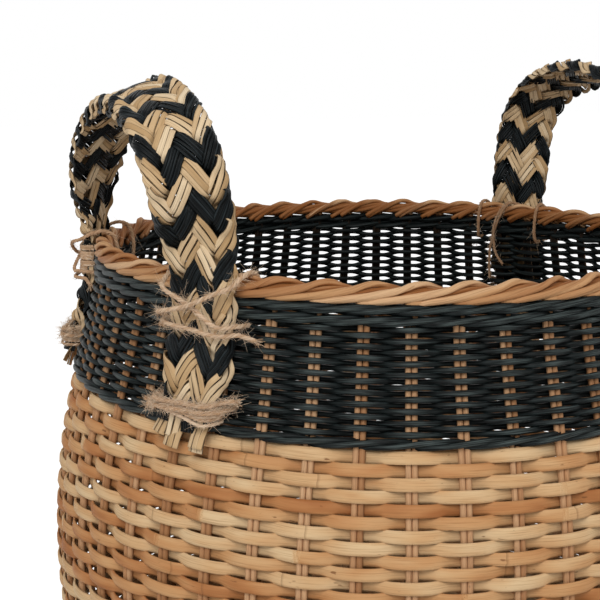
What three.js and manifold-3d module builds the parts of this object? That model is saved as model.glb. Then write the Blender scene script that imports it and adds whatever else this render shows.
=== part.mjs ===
// Rattan basket with a black shoulder band and two braided handles tied on with jute twine.
// Millimetres, +Z up. The origin is the centre of the base, on the floor.
// The wall is round about Z. The handles stand over +X and -X, half a turn apart.

import * as THREE from 'three';
import { mergeVertices } from 'three/addons/utils/BufferGeometryUtils.js';
import Module from 'manifold-3d';

const wasm = await Module();
wasm.setup();

// The middle line of the wall, from the floor to the rim
const baseRadius = 150;
const bellyRadius = 217;
const bellyHeight = 175;
const shoulderInset = 15;
const rimInset = 32;
const rimHeight = 362;
const blackBandHeight = 77;
const lowerCurve = 2.4;

// Rods, strips and cores that the wall is woven from
const stakeCount = 48;
const stakeDiameter = 3.3;
const stripThickness = 2.3;
const stripPitch = 6.4;
const bodyUnderCover = 0.7;
const bodyLiningInset = 0.8;
const bodyLiningRows = 3;
const bodyFirstOver = 1;
const coreDiameter = 2.85;
const corePitch = 2.85;
const bandLiningRows = 2;
const bandFirstOver = 0;
const upperWaleHeight = 11.5;
const lowerWaleHeight = 5.6;
const waleBulge = 1;
const strokeLowShare = 0.3;
const strokeHighShare = 0.7;
const footHeight = 14;
const footBulge = 1.4;
const footStandWidth = 10;
const footLowShare = 0.35;
const footHighShare = 0.7;
const rimRopeWidth = 11;
const rimRopeHeight = 10.4;
const rimHump = 1.3;

// The woven base and the crossed sticks at its middle
const baseThickness = 6.4;
const baseRise = 6;
const baseFloorGap = 4;
const baseSpokeCount = 24;
const baseRoundPitch = 5;
const baseRoundRelief = 1.8;
const crossHoleRadius = 21;
const crossStickDiameter = 4.6;
const crossStickCount = 6;
const crossStickNesting = 0.94;
const crossStickValley = 0.45;
const crossStickRound = 0.3;

// The braided handles
const legSpread = THREE.MathUtils.degToRad(30);
const braidThickness = 11;
const braidWidthArch = 46;
const braidWidthRimTie = 42;
const braidWidthLeg = 48;
const braidWidthBandTie = 39;
const braidWidthTail = 45;
const tailThickness = 7;
const braidScallop = 1.2;
const braidEdgeShare = 0.84;
const braidEdgeRound = 0.82;
const braidNeck = 6;
const braidNeckTop = 8;
const braidSpreadHeight = 40;
const tailReach = 9;
const tailNotchDepth = 13;
const tailNotchWidth = 3.2;
const tailNotchShares = [-0.22, 0.06, 0.28];
const legLiftStart = 12;
const legLiftEnd = 4;
const legTopDrop = 2;
const legSpans = 5;
const archTwist = THREE.MathUtils.degToRad(72);
const twistStart = -4;
const twistEndFirstLeg = 46;
const twistEndSecondLeg = 80;
const archRise = { left: 1, right: 1.08 };
const braidSteps = 58;

// The jute ties: one at the rim and one low on the band for each leg
const twineDiameter = 2.5;
const rimTieDrop = 20;
const bandTieRise = 16;
const bandTieTurns = 1;
const tieTail = 9;
const tieTailSag = 3;
const tieBend = 5.5;
const rimLapShare = 0.6;
const rimTieSteps = 56;
const bandTieSteps = 32;

// Gaps between touching pieces
const seatGap = 0.3;
const tieGap = 0.5;
const tieSlack = 0.7;
const slotGap = 0.7;
const slotRoom = 1.8;
const liningGap = 2.5;

// Sizes that follow from the ones above
const shoulderRadius = bellyRadius - shoulderInset;
const rimRadius = bellyRadius - rimInset;
const shoulderHeight = rimHeight - blackBandHeight;
const bandTieDrop = blackBandHeight - bandTieRise;
const tailDrop = blackBandHeight + tailReach;
const stakeRadius = stakeDiameter / 2;
const bodyHalfWall = stakeRadius + stripThickness;
const bandHalfWall = stakeRadius + coreDiameter;
const twineRadius = twineDiameter / 2;
const twineLap = twineDiameter + tieGap + tieSlack / 2;
const upperWaleTop = rimHeight - (rimRopeHeight - rimHump) / 2 - seatGap;
const upperWaleBottom = upperWaleTop - upperWaleHeight;
const bandTop = upperWaleBottom - seatGap;
const lowerWaleTop = shoulderHeight + lowerWaleHeight;
const bandBottom = lowerWaleTop + seatGap;
const bodyTop = shoulderHeight - seatGap;
const bodyBottom = footHeight + seatGap;
const firstStake = Math.PI / stakeCount;

// Radius of the middle of the wall at a height: a low belly, then one smooth lean up to the rim
function wallRadius(height) {
  if (height <= bellyHeight) {
    const below = (bellyHeight - height) / bellyHeight;
    return bellyRadius - (bellyRadius - baseRadius) * below ** lowerCurve;
  }
  const bellySpan = shoulderHeight - bellyHeight;
  if (height <= shoulderHeight) {
    const above = (height - bellyHeight) / bellySpan;
    return bellyRadius - (bellyRadius - shoulderRadius) * above ** 2;
  }
  const span = rimHeight - shoulderHeight;
  const t = Math.min(1, (height - shoulderHeight) / span);
  const startSlope = (-2 * (bellyRadius - shoulderRadius) * span) / bellySpan;
  const towardsRim = 3 * t ** 2 - 2 * t ** 3;
  const easeOut = t ** 3 - 2 * t ** 2 + t;
  return shoulderRadius + (rimRadius - shoulderRadius) * towardsRim + startSlope * easeOut;
}

// Geometry helpers

function closedGeometry(positions, indices) {
  const geometry = new THREE.BufferGeometry();
  geometry.setAttribute('position', new THREE.Float32BufferAttribute(positions, 3));
  geometry.setIndex(indices);
  return geometry;
}

// Joins equal loops of points into one skin. The last loop meets the first one if it is closed.
// Each cell of four points is split by one diagonal, and splitsDown says where it runs the other way.
function loftIndices(loops, loopSize, closed, splitsDown = () => false) {
  const indices = [];
  const spans = closed ? loops : loops - 1;
  for (let i = 0; i < spans; i += 1) {
    const here = i * loopSize;
    const next = ((i + 1) % loops) * loopSize;
    for (let j = 0; j < loopSize; j += 1) {
      const k = (j + 1) % loopSize;
      if (splitsDown(i, j)) {
        indices.push(here + j, next + j, here + k);
        indices.push(next + j, next + k, here + k);
      } else {
        indices.push(here + j, next + j, next + k);
        indices.push(here + j, next + k, here + k);
      }
    }
  }
  return indices;
}

// A ring about Z. sectionAt(step) lists [radius, height] up the outside and down the inside.
function ringGeometry(steps, sectionAt, splitsDown) {
  const positions = [];
  let loopSize = 0;
  for (let i = 0; i < steps; i += 1) {
    const angle = firstStake + (i / steps) * 2 * Math.PI;
    const section = sectionAt(i);
    loopSize = section.length;
    for (const [radius, height] of section) {
      positions.push(radius * Math.cos(angle), radius * Math.sin(angle), height);
    }
  }
  return closedGeometry(positions, loftIndices(steps, loopSize, true, splitsDown));
}

function toManifold(geometry) {
  const bare = geometry.clone();
  bare.deleteAttribute('normal');
  bare.deleteAttribute('uv');
  const merged = mergeVertices(bare, 1e-4);
  return new wasm.Manifold(
    new wasm.Mesh({
      numProp: 3,
      vertProperties: new Float32Array(merged.attributes.position.array),
      triVerts: new Uint32Array(merged.index.array),
    }),
  );
}

function fromManifold(solid) {
  const mesh = solid.getMesh();
  return closedGeometry(Array.from(mesh.vertProperties), Array.from(mesh.triVerts));
}

function cut(geometry, cutters) {
  const solid = cutters.reduce((rest, cutter) => rest.subtract(toManifold(cutter)), toManifold(geometry));
  return fromManifold(solid);
}

// The wall: each stake crosses each row once, in front of it or behind it

// Lines across a band of weave, each with the row it belongs to: the middle of each row, and the two ends
function weaveLines(start, end, pitch) {
  const rows = Math.round(Math.abs(end - start) / pitch);
  const lines = [[start, 0]];
  for (let row = 0; row < rows; row += 1) {
    lines.push([start + ((end - start) * (row + 0.5)) / rows, row]);
  }
  lines.push([end, rows - 1]);
  return lines;
}

// A woven shell with the over-one, under-one relief outside and a smooth lining of the same weave inside
function wovenShell({ bottom, top, pitch, halfWall, underCover, liningInset, liningRows, firstOver }) {
  const lines = weaveLines(bottom, top, pitch);
  const isOver = (stake, row) => (stake + row) % 2 === firstOver;
  const sectionAt = (stake) => {
    const section = lines.map(([height, row]) => [
      wallRadius(height) + (isOver(stake, row) ? halfWall : underCover),
      height,
    ]);
    for (let row = liningRows; row >= 0; row -= 1) {
      const height = bottom + ((top - bottom) * row) / liningRows;
      section.push([wallRadius(height) - halfWall + liningInset, height]);
    }
    return section;
  };
  const splitsDown = (stake, line) => line < lines.length && isOver(stake, lines[line][1]);
  return ringGeometry(stakeCount, sectionAt, splitsDown);
}

// A wale: thick twined strokes, one to each stake, that rise along the wall
function waleRing(bottom, top, halfWall, bulge) {
  const lowBulge = bottom + (top - bottom) * strokeLowShare;
  const highBulge = bottom + (top - bottom) * strokeHighShare;
  return ringGeometry(stakeCount, (stake) => {
    const lowOut = stake % 2 === 0 ? bulge : 0;
    const highOut = bulge - lowOut;
    const skin = halfWall - bulge;
    return [
      [wallRadius(bottom) + skin, bottom],
      [wallRadius(lowBulge) + skin + lowOut, lowBulge],
      [wallRadius(highBulge) + skin + highOut, highBulge],
      [wallRadius(top) + skin, top],
      [wallRadius(top) - halfWall, top],
      [wallRadius(bottom) - halfWall, bottom],
    ];
  });
}

// The foot: a twined ring with a flat underside that the basket stands on
function footRing() {
  const middle = wallRadius(footHeight);
  const half = bodyHalfWall;
  return ringGeometry(stakeCount, (stake) => {
    const bump = stake % 2 === 0 ? footBulge : 0;
    return [
      [middle - half + footStandWidth, 0],
      [middle + half + bump, footHeight * footLowShare],
      [middle + half + footBulge - bump, footHeight * footHighShare],
      [middle + half, footHeight],
      [middle - half, footHeight],
      [middle - half, 0],
    ];
  });
}

// The rim: paired cores rolled over the stake ends, with one hump to each stake
function rimBorder() {
  const humpSteps = 2;
  const sides = 8;
  return ringGeometry(stakeCount * humpSteps, (step) => {
    const section = [];
    for (let side = 0; side < sides; side += 1) {
      const around = (side / sides) * 2 * Math.PI - Math.PI / 2;
      const lay = (step / humpSteps) * 2 * Math.PI + around;
      const shrink = (rimHump * (1 - Math.cos(lay))) / 2;
      const outward = (rimRopeWidth / 2 - shrink) * Math.cos(around);
      const upward = (rimRopeHeight / 2 - shrink) * Math.sin(around);
      section.push([rimRadius + outward, rimHeight + upward]);
    }
    return section;
  });
}

// The base: rounds of core woven about a cross of sticks, domed up to clear the floor

function baseHeight(radius) {
  const reach = 1 - (radius / baseRadius) ** 2;
  return baseFloorGap + baseThickness / 2 + baseRise * reach;
}

// Both faces have the weave's relief: a round that lies over one spoke lies under the next
function baseWeave() {
  const outer = wallRadius(footHeight) - bodyHalfWall - seatGap;
  const lines = weaveLines(outer, crossHoleRadius, baseRoundPitch);
  const isOver = (spoke, round) => (spoke + round) % 2 === 0;
  const skinAt = (spoke, round) => baseThickness / 2 - (isOver(spoke, round) ? 0 : baseRoundRelief);
  const sectionAt = (spoke) => {
    const above = lines.map(([radius, round]) => [radius, baseHeight(radius) + skinAt(spoke, round)]);
    const below = lines.map(([radius, round]) => [radius, baseHeight(radius) - skinAt(spoke + 1, round)]);
    return [...above, ...below.reverse()];
  };
  const splitsDown = (spoke, line) => {
    if (line < lines.length) return isOver(spoke, lines[line][1]);
    return isOver(spoke + 1, lines[2 * lines.length - 1 - line][1]);
  };
  return ringGeometry(baseSpokeCount, sectionAt, splitsDown);
}

// One bundle of sticks laid side by side, as long as fits in the round hole
function stickBundle(alongY, lift) {
  const half = crossStickDiameter / 2;
  const width = crossStickCount * crossStickDiameter * crossStickNesting;
  const reach = crossHoleRadius * Math.cos(Math.PI / baseSpokeCount) - seatGap;
  const length = 2 * Math.sqrt(reach ** 2 - (width / 2) ** 2);
  const pitch = width / crossStickCount;
  const outline = new THREE.Shape();
  const valley = half * crossStickValley;
  const round = pitch * crossStickRound;
  outline.moveTo(-width / 2, -valley);
  for (let k = 0; k < crossStickCount; k += 1) {
    const start = -width / 2 + k * pitch;
    outline.lineTo(start + round, -half);
    outline.lineTo(start + pitch - round, -half);
    outline.lineTo(start + pitch, -valley);
  }
  for (let k = crossStickCount; k > 0; k -= 1) {
    const end = -width / 2 + k * pitch;
    outline.lineTo(end, valley);
    outline.lineTo(end - round, half);
    outline.lineTo(end - pitch + round, half);
  }
  outline.lineTo(-width / 2, valley);
  outline.closePath();
  const geometry = new THREE.ExtrudeGeometry(outline, { depth: length, bevelEnabled: false });
  geometry.translate(0, 0, -length / 2);
  geometry.rotateX(Math.PI / 2);
  if (!alongY) geometry.rotateZ(Math.PI / 2);
  geometry.translate(0, 0, lift);
  return geometry;
}

// The handles. Each is modelled over +X, with one leg at +legSpread and the other at -legSpread.

// Distance from Z to the middle of a leg that lies on the wall, clear of the weave and the rim
function legRadius(height) {
  const onWall = wallRadius(height) + bandHalfWall;
  const rimSide = rimRadius + rimRopeWidth / 2;
  const liftFrom = upperWaleBottom - legLiftStart;
  const liftTo = upperWaleTop - legLiftEnd;
  const towardsRim = THREE.MathUtils.smoothstep(height, liftFrom, liftTo);
  const surface = onWall + (Math.max(rimSide, onWall) - onWall) * towardsRim;
  return surface + seatGap + braidThickness / 2;
}

function legPoint(height, angle) {
  const radius = legRadius(height);
  return new THREE.Vector3(radius * Math.cos(angle), radius * Math.sin(angle), height);
}

// The arch leans to one side, as the hand-tied handle does:
// [inward from the rim, share of half the span between the legs, height above the rim]
const archPoints = [
  [14, 1.005, 20],
  [8, 1.076, 42],
  [3, 1.086, 65],
  [1, 0.923, 85],
  [2.5, 0.589, 96.5],
  [5, 0.203, 98.5],
  [6.5, -0.162, 90],
  [7, -0.487, 71],
  [9, -0.741, 47],
  [14, -0.934, 20],
];

function braidSpine(rise) {
  const legHeights = [];
  for (let k = 0; k <= legSpans; k += 1) {
    legHeights.push(rimHeight - tailDrop + ((tailDrop - legTopDrop) * k) / legSpans);
  }
  const front = legHeights.map((height) => legPoint(height, legSpread));
  const halfSpan = legPoint(rimHeight, legSpread).y;
  const arch = archPoints.map(
    ([inward, share, above]) => new THREE.Vector3(rimRadius - inward, share * halfSpan, rimHeight + above * rise),
  );
  const back = legHeights.map((height) => legPoint(height, -legSpread)).reverse();
  return new THREE.CatmullRomCurve3([...front, ...arch, ...back], false, 'centripetal');
}

// Width of the strap by height: drawn in by each tie and splayed at its cut ends
const widthStops = [
  [-tailDrop, braidWidthTail],
  [-bandTieDrop - braidNeck, braidWidthBandTie],
  [-bandTieDrop + braidNeck, braidWidthBandTie],
  [(-bandTieDrop - rimTieDrop) / 2, braidWidthLeg],
  [-rimTieDrop + braidNeck, braidWidthRimTie],
  [braidNeckTop, braidWidthRimTie],
  [braidSpreadHeight, braidWidthArch],
];

function braidWidth(aboveRim) {
  const next = widthStops.findIndex(([stop]) => aboveRim < stop);
  if (next < 0) return braidWidthArch;
  if (next === 0) return braidWidthTail;
  const [lowStop, lowWidth] = widthStops[next - 1];
  const [highStop, highWidth] = widthStops[next];
  return lowWidth + ((highWidth - lowWidth) * (aboveRim - lowStop)) / (highStop - lowStop);
}

// Point, width direction and face direction of the strap at a share of its length
function braidFrame(spine, share) {
  const point = spine.getPointAt(share);
  const tangent = spine.getTangentAt(share);
  const inPlane = new THREE.Vector3(0, tangent.z, -tangent.y).multiplyScalar(-1).normalize();
  const aboveRim = point.z - rimHeight;
  const twistEnd = point.y > 0 ? twistEndFirstLeg : twistEndSecondLeg;
  const turn = THREE.MathUtils.smoothstep(aboveRim, twistStart, twistEnd);
  const angle = legSpread + (archTwist - legSpread) * turn;
  const face = new THREE.Vector3(Math.cos(angle), 0, 0).addScaledVector(inPlane, -Math.sin(angle));
  face.addScaledVector(tangent, -face.dot(tangent)).normalize();
  const across = new THREE.Vector3().crossVectors(tangent, face);
  return { point, across, face, aboveRim };
}

function braidedStrap(spine) {
  const sectionShape = [
    [1, 0],
    [braidEdgeShare, braidEdgeRound],
    [0, 1],
    [-braidEdgeShare, braidEdgeRound],
    [-1, 0],
    [-braidEdgeShare, -braidEdgeRound],
    [0, -1],
    [braidEdgeShare, -braidEdgeRound],
  ];
  const tailStart = bandTieDrop + braidNeck;
  const positions = [];
  for (let i = 0; i <= braidSteps; i += 1) {
    const { point, across, face, aboveRim } = braidFrame(spine, i / braidSteps);
    const scallop = i % 2 === 0 ? 0 : braidScallop;
    const tail = THREE.MathUtils.clamp((-tailStart - aboveRim) / (tailDrop - tailStart), 0, 1);
    const halfWidth = braidWidth(aboveRim) / 2 - scallop;
    const halfThickness = (braidThickness + (tailThickness - braidThickness) * tail) / 2;
    for (const [sideways, outward] of sectionShape) {
      const corner = point.clone();
      corner.addScaledVector(across, sideways * halfWidth);
      corner.addScaledVector(face, outward * halfThickness);
      positions.push(corner.x, corner.y, corner.z);
    }
  }
  const size = sectionShape.length;
  const indices = loftIndices(braidSteps + 1, size, false);
  const last = braidSteps * size;
  for (let j = 1; j < size - 1; j += 1) {
    indices.push(0, j, j + 1);
    indices.push(last, last + j + 1, last + j);
  }
  const strap = closedGeometry(positions, indices);
  return cut(strap, [legSpread, -legSpread].flatMap(tailNotches));
}

// Wedges that part the cut strand ends below the lower tie
function tailNotches(angle) {
  const endHeight = rimHeight - tailDrop;
  return tailNotchShares.map((share) => {
    const wedge = new THREE.Shape();
    wedge.moveTo(-tailNotchWidth / 2, -tailNotchWidth);
    wedge.lineTo(tailNotchWidth / 2, -tailNotchWidth);
    wedge.lineTo(0, tailNotchDepth);
    wedge.closePath();
    const depth = braidThickness * 3;
    const geometry = new THREE.ExtrudeGeometry(wedge, { depth, bevelEnabled: false });
    geometry.translate(share * braidWidthTail, 0, -depth / 2);
    geometry.applyMatrix4(
      new THREE.Matrix4().makeBasis(
        new THREE.Vector3(-Math.sin(angle), Math.cos(angle), 0),
        new THREE.Vector3(0, 0, 1),
        new THREE.Vector3(Math.cos(angle), Math.sin(angle), 0),
      ),
    );
    const end = legPoint(endHeight, angle);
    geometry.translate(end.x, end.y, end.z);
    return geometry;
  });
}

// The ties. A tie point is [along the wall, out from the middle of the leg, height above the rim].

function tiePoint(angle, [along, out, aboveRim], legMiddle) {
  const radius = legMiddle + out;
  return new THREE.Vector3(
    radius * Math.cos(angle) - along * Math.sin(angle),
    radius * Math.sin(angle) + along * Math.cos(angle),
    rimHeight + aboveRim,
  );
}

// Least distance from one stretch of a twine to another stretch of it, less its diameter
function leastSelfGap(curve) {
  const count = 400;
  const points = curve.getSpacedPoints(count);
  const near = Math.ceil((count * twineDiameter * 2.2) / curve.getLength());
  let least = Infinity;
  for (let i = 0; i < count; i += 1) {
    for (let j = i + near; j <= count; j += 1) {
      least = Math.min(least, points[i].distanceTo(points[j]));
    }
  }
  return least - twineDiameter;
}

function twineGeometry(points, steps) {
  const curve = new THREE.CatmullRomCurve3(points, false, 'centripetal');
  const sides = 5;
  const section = new THREE.Shape();
  for (let k = 0; k < sides; k += 1) {
    const angle = (k / sides) * 2 * Math.PI;
    const x = twineRadius * Math.cos(angle);
    const y = twineRadius * Math.sin(angle);
    if (k === 0) section.moveTo(x, y);
    else section.lineTo(x, y);
  }
  section.closePath();
  const length = curve.getLength().toFixed(0);
  const gap = leastSelfGap(curve).toFixed(2);
  console.log(`twine of ${length} mm, least gap to itself ${gap} mm`);
  return new THREE.ExtrudeGeometry(section, { steps, extrudePath: curve, bevelEnabled: false });
}

// Distance from the middle of the strap to twine that passes its edge, and to twine on its face
function tieEdge(strapWidth) {
  return strapWidth / 2 + tieGap + twineRadius + tieSlack;
}

const tieFace = braidThickness / 2 + tieGap + twineRadius + tieSlack;

// Rim tie: one run across the leg, in through the wall, up and over the rim, down across the leg,
// in again on the other side, over the rim once more and down across the first diagonal
function rimTie(angle) {
  const edge = tieEdge(braidWidthRimTie);
  const inSlot = edge + tieSlack;
  const centre = legRadius(rimHeight - rimTieDrop);
  const ropeMiddle = Math.sqrt(rimRadius ** 2 - inSlot ** 2) - centre;
  const inside = ropeMiddle - rimRopeWidth / 2 - tieGap - twineRadius - tieSlack;
  const overRim = rimRopeHeight / 2 + tieGap + twineRadius + tieSlack;
  const behind = -braidThickness / 2 - twineRadius;
  const low = -rimTieDrop;
  const start = low - twineLap;
  const passEdge = (side, level, lift) => [
    [side * (edge - tieBend), tieFace + lift, level + lift],
    [side * (edge + tieGap), twineRadius, level + lift],
    [side * inSlot, behind, level],
    [side * inSlot, inside + twineDiameter, level],
    [side * edge, inside, level + tieBend],
    [side * edge, inside, -twineDiameter],
    [side * edge, inside + twineDiameter, overRim - twineDiameter],
    [side * edge, ropeMiddle, overRim],
    [side * edge, ropeMiddle + rimRopeWidth * rimLapShare, overRim - twineRadius + lift / 2],
    [side * (edge - tieSlack), twineDiameter + lift, twineRadius + lift],
    [side * (edge - tieBend), tieFace + tieSlack + lift, lift - twineRadius],
  ];
  const firstCross = [0, tieFace + tieGap, (low + twineRadius) / 2];
  const secondCross = [0, tieFace + twineLap + tieSlack, (low + twineDiameter) / 2];
  const route = [
    [edge + tieTail, behind + twineRadius, start - tieTailSag],
    [edge + twineRadius, 0, start],
    [edge - tieBend, tieFace, start],
    [0, tieFace + tieSlack / 2, (start + low) / 2],
    ...passEdge(-1, low, 0),
    firstCross,
    ...passEdge(1, low + tieSlack, tieSlack),
    secondCross,
    [tieBend - edge, tieFace + twineLap + tieSlack, low + 2 * twineLap],
    [-edge - tieGap, tieFace - twineDiameter, low + twineLap + twineRadius],
    [-edge - tieBend, 0, low + twineLap],
  ];
  return twineGeometry(route.map((point) => tiePoint(angle, point, centre)), rimTieSteps);
}

// Band tie: turns laid one above the other round the leg, through a slot in the weave on each side
function bandTie(angle) {
  const edge = tieEdge(braidWidthBandTie);
  const inSlot = edge + tieSlack;
  const wallInside = -braidThickness / 2 - seatGap - 2 * bandHalfWall;
  const inside = wallInside - tieGap - twineRadius - liningGap;
  const turnLow = -bandTieDrop - (twineLap * bandTieTurns) / 2;
  const rise = (share) => twineLap * share;
  const route = [
    [-edge - tieTail + twineDiameter, -twineRadius, turnLow - tieTailSag],
    [-edge - tieSlack, twineRadius, turnLow - twineRadius],
  ];
  for (let turn = 0; turn <= bandTieTurns; turn += 1) {
    const low = turnLow + twineLap * turn;
    route.push([tieBend - edge, tieFace, low]);
    route.push([0, tieFace + tieSlack / 2, low + rise(0.1)]);
    route.push([edge - tieBend, tieFace, low + rise(0.2)]);
    if (turn === bandTieTurns) break;
    route.push([inSlot, twineRadius, low + rise(0.3)]);
    route.push([inSlot, inside + liningGap, low + rise(0.4)]);
    route.push([edge - twineDiameter, inside, low + rise(0.45)]);
    route.push([0, inside - tieSlack, low + rise(0.55)]);
    route.push([twineDiameter - edge, inside, low + rise(0.65)]);
    route.push([-inSlot, inside + liningGap, low + rise(0.7)]);
    route.push([-inSlot, twineRadius, low + rise(0.8)]);
  }
  const high = turnLow + twineLap * bandTieTurns;
  route.push([edge + tieSlack, twineRadius, high + rise(0.6)]);
  route.push([edge + tieTail - twineDiameter, -twineRadius, high + twineLap]);
  const placed = route.map((point) => tiePoint(angle, point, legRadius(rimHeight + point[2])));
  return twineGeometry(placed, bandTieSteps);
}

// Slots between the cores where a tie passes through the band
function tieSlots(handleAngle) {
  const slots = [];
  const addSlot = (legAngle, along, drop, height) => {
    const angle = handleAngle + legAngle;
    const depth = 6 * bandHalfWall;
    const width = twineDiameter + 2 * slotGap + slotRoom;
    const slot = new THREE.BoxGeometry(depth, width, height);
    slot.rotateZ(angle);
    const legMiddle = legRadius(rimHeight - drop);
    const middle = tiePoint(angle, [along, -braidThickness / 2 - bandHalfWall, -drop], legMiddle);
    slot.translate(middle.x, middle.y, middle.z);
    slots.push(slot);
  };
  const rimSlotAt = tieEdge(braidWidthRimTie) + tieSlack;
  const bandSlotAt = tieEdge(braidWidthBandTie) + tieSlack;
  const rimSlotHeight = twineDiameter + 2 * slotGap + 2 * tieSlack;
  const bandSlotHeight = twineLap * bandTieTurns + twineRadius + 2 * slotGap;
  for (const legAngle of [legSpread, -legSpread]) {
    for (const side of [1, -1]) {
      addSlot(legAngle, side * rimSlotAt, rimTieDrop, rimSlotHeight);
      addSlot(legAngle, side * bandSlotAt, bandTieDrop, bandSlotHeight);
    }
  }
  return slots;
}

// Materials

const rattan = new THREE.MeshStandardMaterial({ color: 0xc9915c, roughness: 0.62, metalness: 0 });
const rimCane = new THREE.MeshStandardMaterial({ color: 0xb67d4f, roughness: 0.6, metalness: 0 });
const blackCane = new THREE.MeshStandardMaterial({ color: 0x1f2829, roughness: 0.7, metalness: 0 });
const seagrass = new THREE.MeshStandardMaterial({ color: 0xc8a573, roughness: 0.75, metalness: 0 });
const jute = new THREE.MeshStandardMaterial({ color: 0xb08d63, roughness: 0.95, metalness: 0 });

// Assembly

const basket = new THREE.Group();
basket.name = 'rattan_basket';

function addPiece(parent, name, geometry, material) {
  const mesh = new THREE.Mesh(geometry, material);
  mesh.name = name;
  parent.add(mesh);
}

const body = {
  bottom: bodyBottom,
  top: bodyTop,
  pitch: stripPitch,
  halfWall: bodyHalfWall,
  underCover: bodyUnderCover,
  liningInset: bodyLiningInset,
  liningRows: bodyLiningRows,
  firstOver: bodyFirstOver,
};
const band = {
  bottom: bandBottom,
  top: bandTop,
  pitch: corePitch,
  halfWall: bandHalfWall,
  underCover: stakeRadius,
  liningInset: 0,
  liningRows: bandLiningRows,
  firstOver: bandFirstOver,
};
const allSlots = [0, Math.PI].flatMap(tieSlots);
const lowerBundleHeight = baseHeight(0) - crossStickDiameter / 2 - seatGap / 2;
const upperBundleHeight = baseHeight(0) + crossStickDiameter / 2 + seatGap / 2;

addPiece(basket, 'base_weave', baseWeave(), rattan);
addPiece(basket, 'base_sticks_lower', stickBundle(true, lowerBundleHeight), rattan);
addPiece(basket, 'base_sticks_upper', stickBundle(false, upperBundleHeight), rattan);
addPiece(basket, 'foot_wale', footRing(), rattan);
addPiece(basket, 'body_weave', wovenShell(body), rattan);
addPiece(basket, 'lower_wale', waleRing(shoulderHeight, lowerWaleTop, bandHalfWall, waleBulge), blackCane);
addPiece(basket, 'band_weave', cut(wovenShell(band), allSlots), blackCane);
addPiece(basket, 'upper_wale', waleRing(upperWaleBottom, upperWaleTop, bandHalfWall, waleBulge), blackCane);
addPiece(basket, 'rim_border', rimBorder(), rimCane);

const handles = [
  { side: 'right', turn: 0, legs: ['back', 'front'] },
  { side: 'left', turn: Math.PI, legs: ['front', 'back'] },
];
for (const { side, turn, legs } of handles) {
  const handle = new THREE.Group();
  const spine = braidSpine(archRise[side]);
  handle.rotation.z = turn;
  addPiece(handle, `handle_${side}`, braidedStrap(spine), seagrass);
  console.log(`handle_${side} strap ${spine.getLength().toFixed(0)} mm long`);
  [legSpread, -legSpread].forEach((angle, index) => {
    addPiece(handle, `rim_tie_${side}_${legs[index]}`, rimTie(angle), jute);
    addPiece(handle, `band_tie_${side}_${legs[index]}`, bandTie(angle), jute);
  });
  basket.add(handle);
}

export default basket;
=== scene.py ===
# %% [markdown]
# # A rattan basket with a black band and two braided handles
#
# The basket is woven: nothing in it is a solid shell. Round stakes stand up in pairs, flat strips
# and round cores pass in front of and behind them, the stake ends are rolled over to make the rim,
# and two flat braids are lashed on with jute twine. The CAD model gives every band of weave as one
# closed body. Here each band is made again strand by strand, so the gaps, shadows and colours of
# real weaving come by themselves.

# %% The frame
import math

import bpy
import numpy as np
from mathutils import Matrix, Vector


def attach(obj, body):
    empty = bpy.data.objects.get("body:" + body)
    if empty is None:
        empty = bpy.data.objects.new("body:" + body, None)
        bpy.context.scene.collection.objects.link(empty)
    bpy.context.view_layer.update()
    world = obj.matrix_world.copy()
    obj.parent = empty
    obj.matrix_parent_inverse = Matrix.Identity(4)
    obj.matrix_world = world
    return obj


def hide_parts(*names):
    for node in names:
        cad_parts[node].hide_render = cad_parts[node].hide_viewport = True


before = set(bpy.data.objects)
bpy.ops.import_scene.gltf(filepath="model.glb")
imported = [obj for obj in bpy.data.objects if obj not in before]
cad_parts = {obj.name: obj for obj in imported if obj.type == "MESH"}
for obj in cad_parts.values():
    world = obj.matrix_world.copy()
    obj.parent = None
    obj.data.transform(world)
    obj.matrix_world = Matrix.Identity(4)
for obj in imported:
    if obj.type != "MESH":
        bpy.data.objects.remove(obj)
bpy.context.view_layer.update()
print("CAD nodes:", len(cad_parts))

# %% [markdown]
# ## Sizes
#
# All lengths are in millimetres and become metres only when a mesh is written. They repeat the
# CAD model's values, because a strand has to lie exactly where its band lies.

# %% Sizes of the wall
BASE_RADIUS = 150.0
BELLY_RADIUS = 217.0
BELLY_HEIGHT = 175.0
SHOULDER_RADIUS = 202.0
SHOULDER_HEIGHT = 285.0
RIM_RADIUS = 185.0
RIM_HEIGHT = 362.0
LOWER_CURVE = 2.4
STAKES = 48
STAKE_STEP = 2 * math.pi / STAKES
FIRST_STAKE = math.pi / STAKES
STAKE_RADIUS = 1.65
STRIP_PITCH = 6.4
CORE_DIAMETER = 2.85
CORE_PITCH = 2.85
SEAT_GAP = 0.3
FOOT_HEIGHT = 14.0
LOWER_WALE_HEIGHT = 5.6
UPPER_WALE_HEIGHT = 11.5
LOWER_WALE_TOP = SHOULDER_HEIGHT + LOWER_WALE_HEIGHT
RIM_ROPE_WIDTH = 11.0
RIM_ROPE_HEIGHT = 10.4
RIM_HUMP = 1.3
UPPER_WALE_TOP = RIM_HEIGHT - (RIM_ROPE_HEIGHT - RIM_HUMP) / 2 - SEAT_GAP
UPPER_WALE_BOTTOM = UPPER_WALE_TOP - UPPER_WALE_HEIGHT
BODY_HALF_WALL = 3.95
BAND_HALF_WALL = STAKE_RADIUS + CORE_DIAMETER


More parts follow.
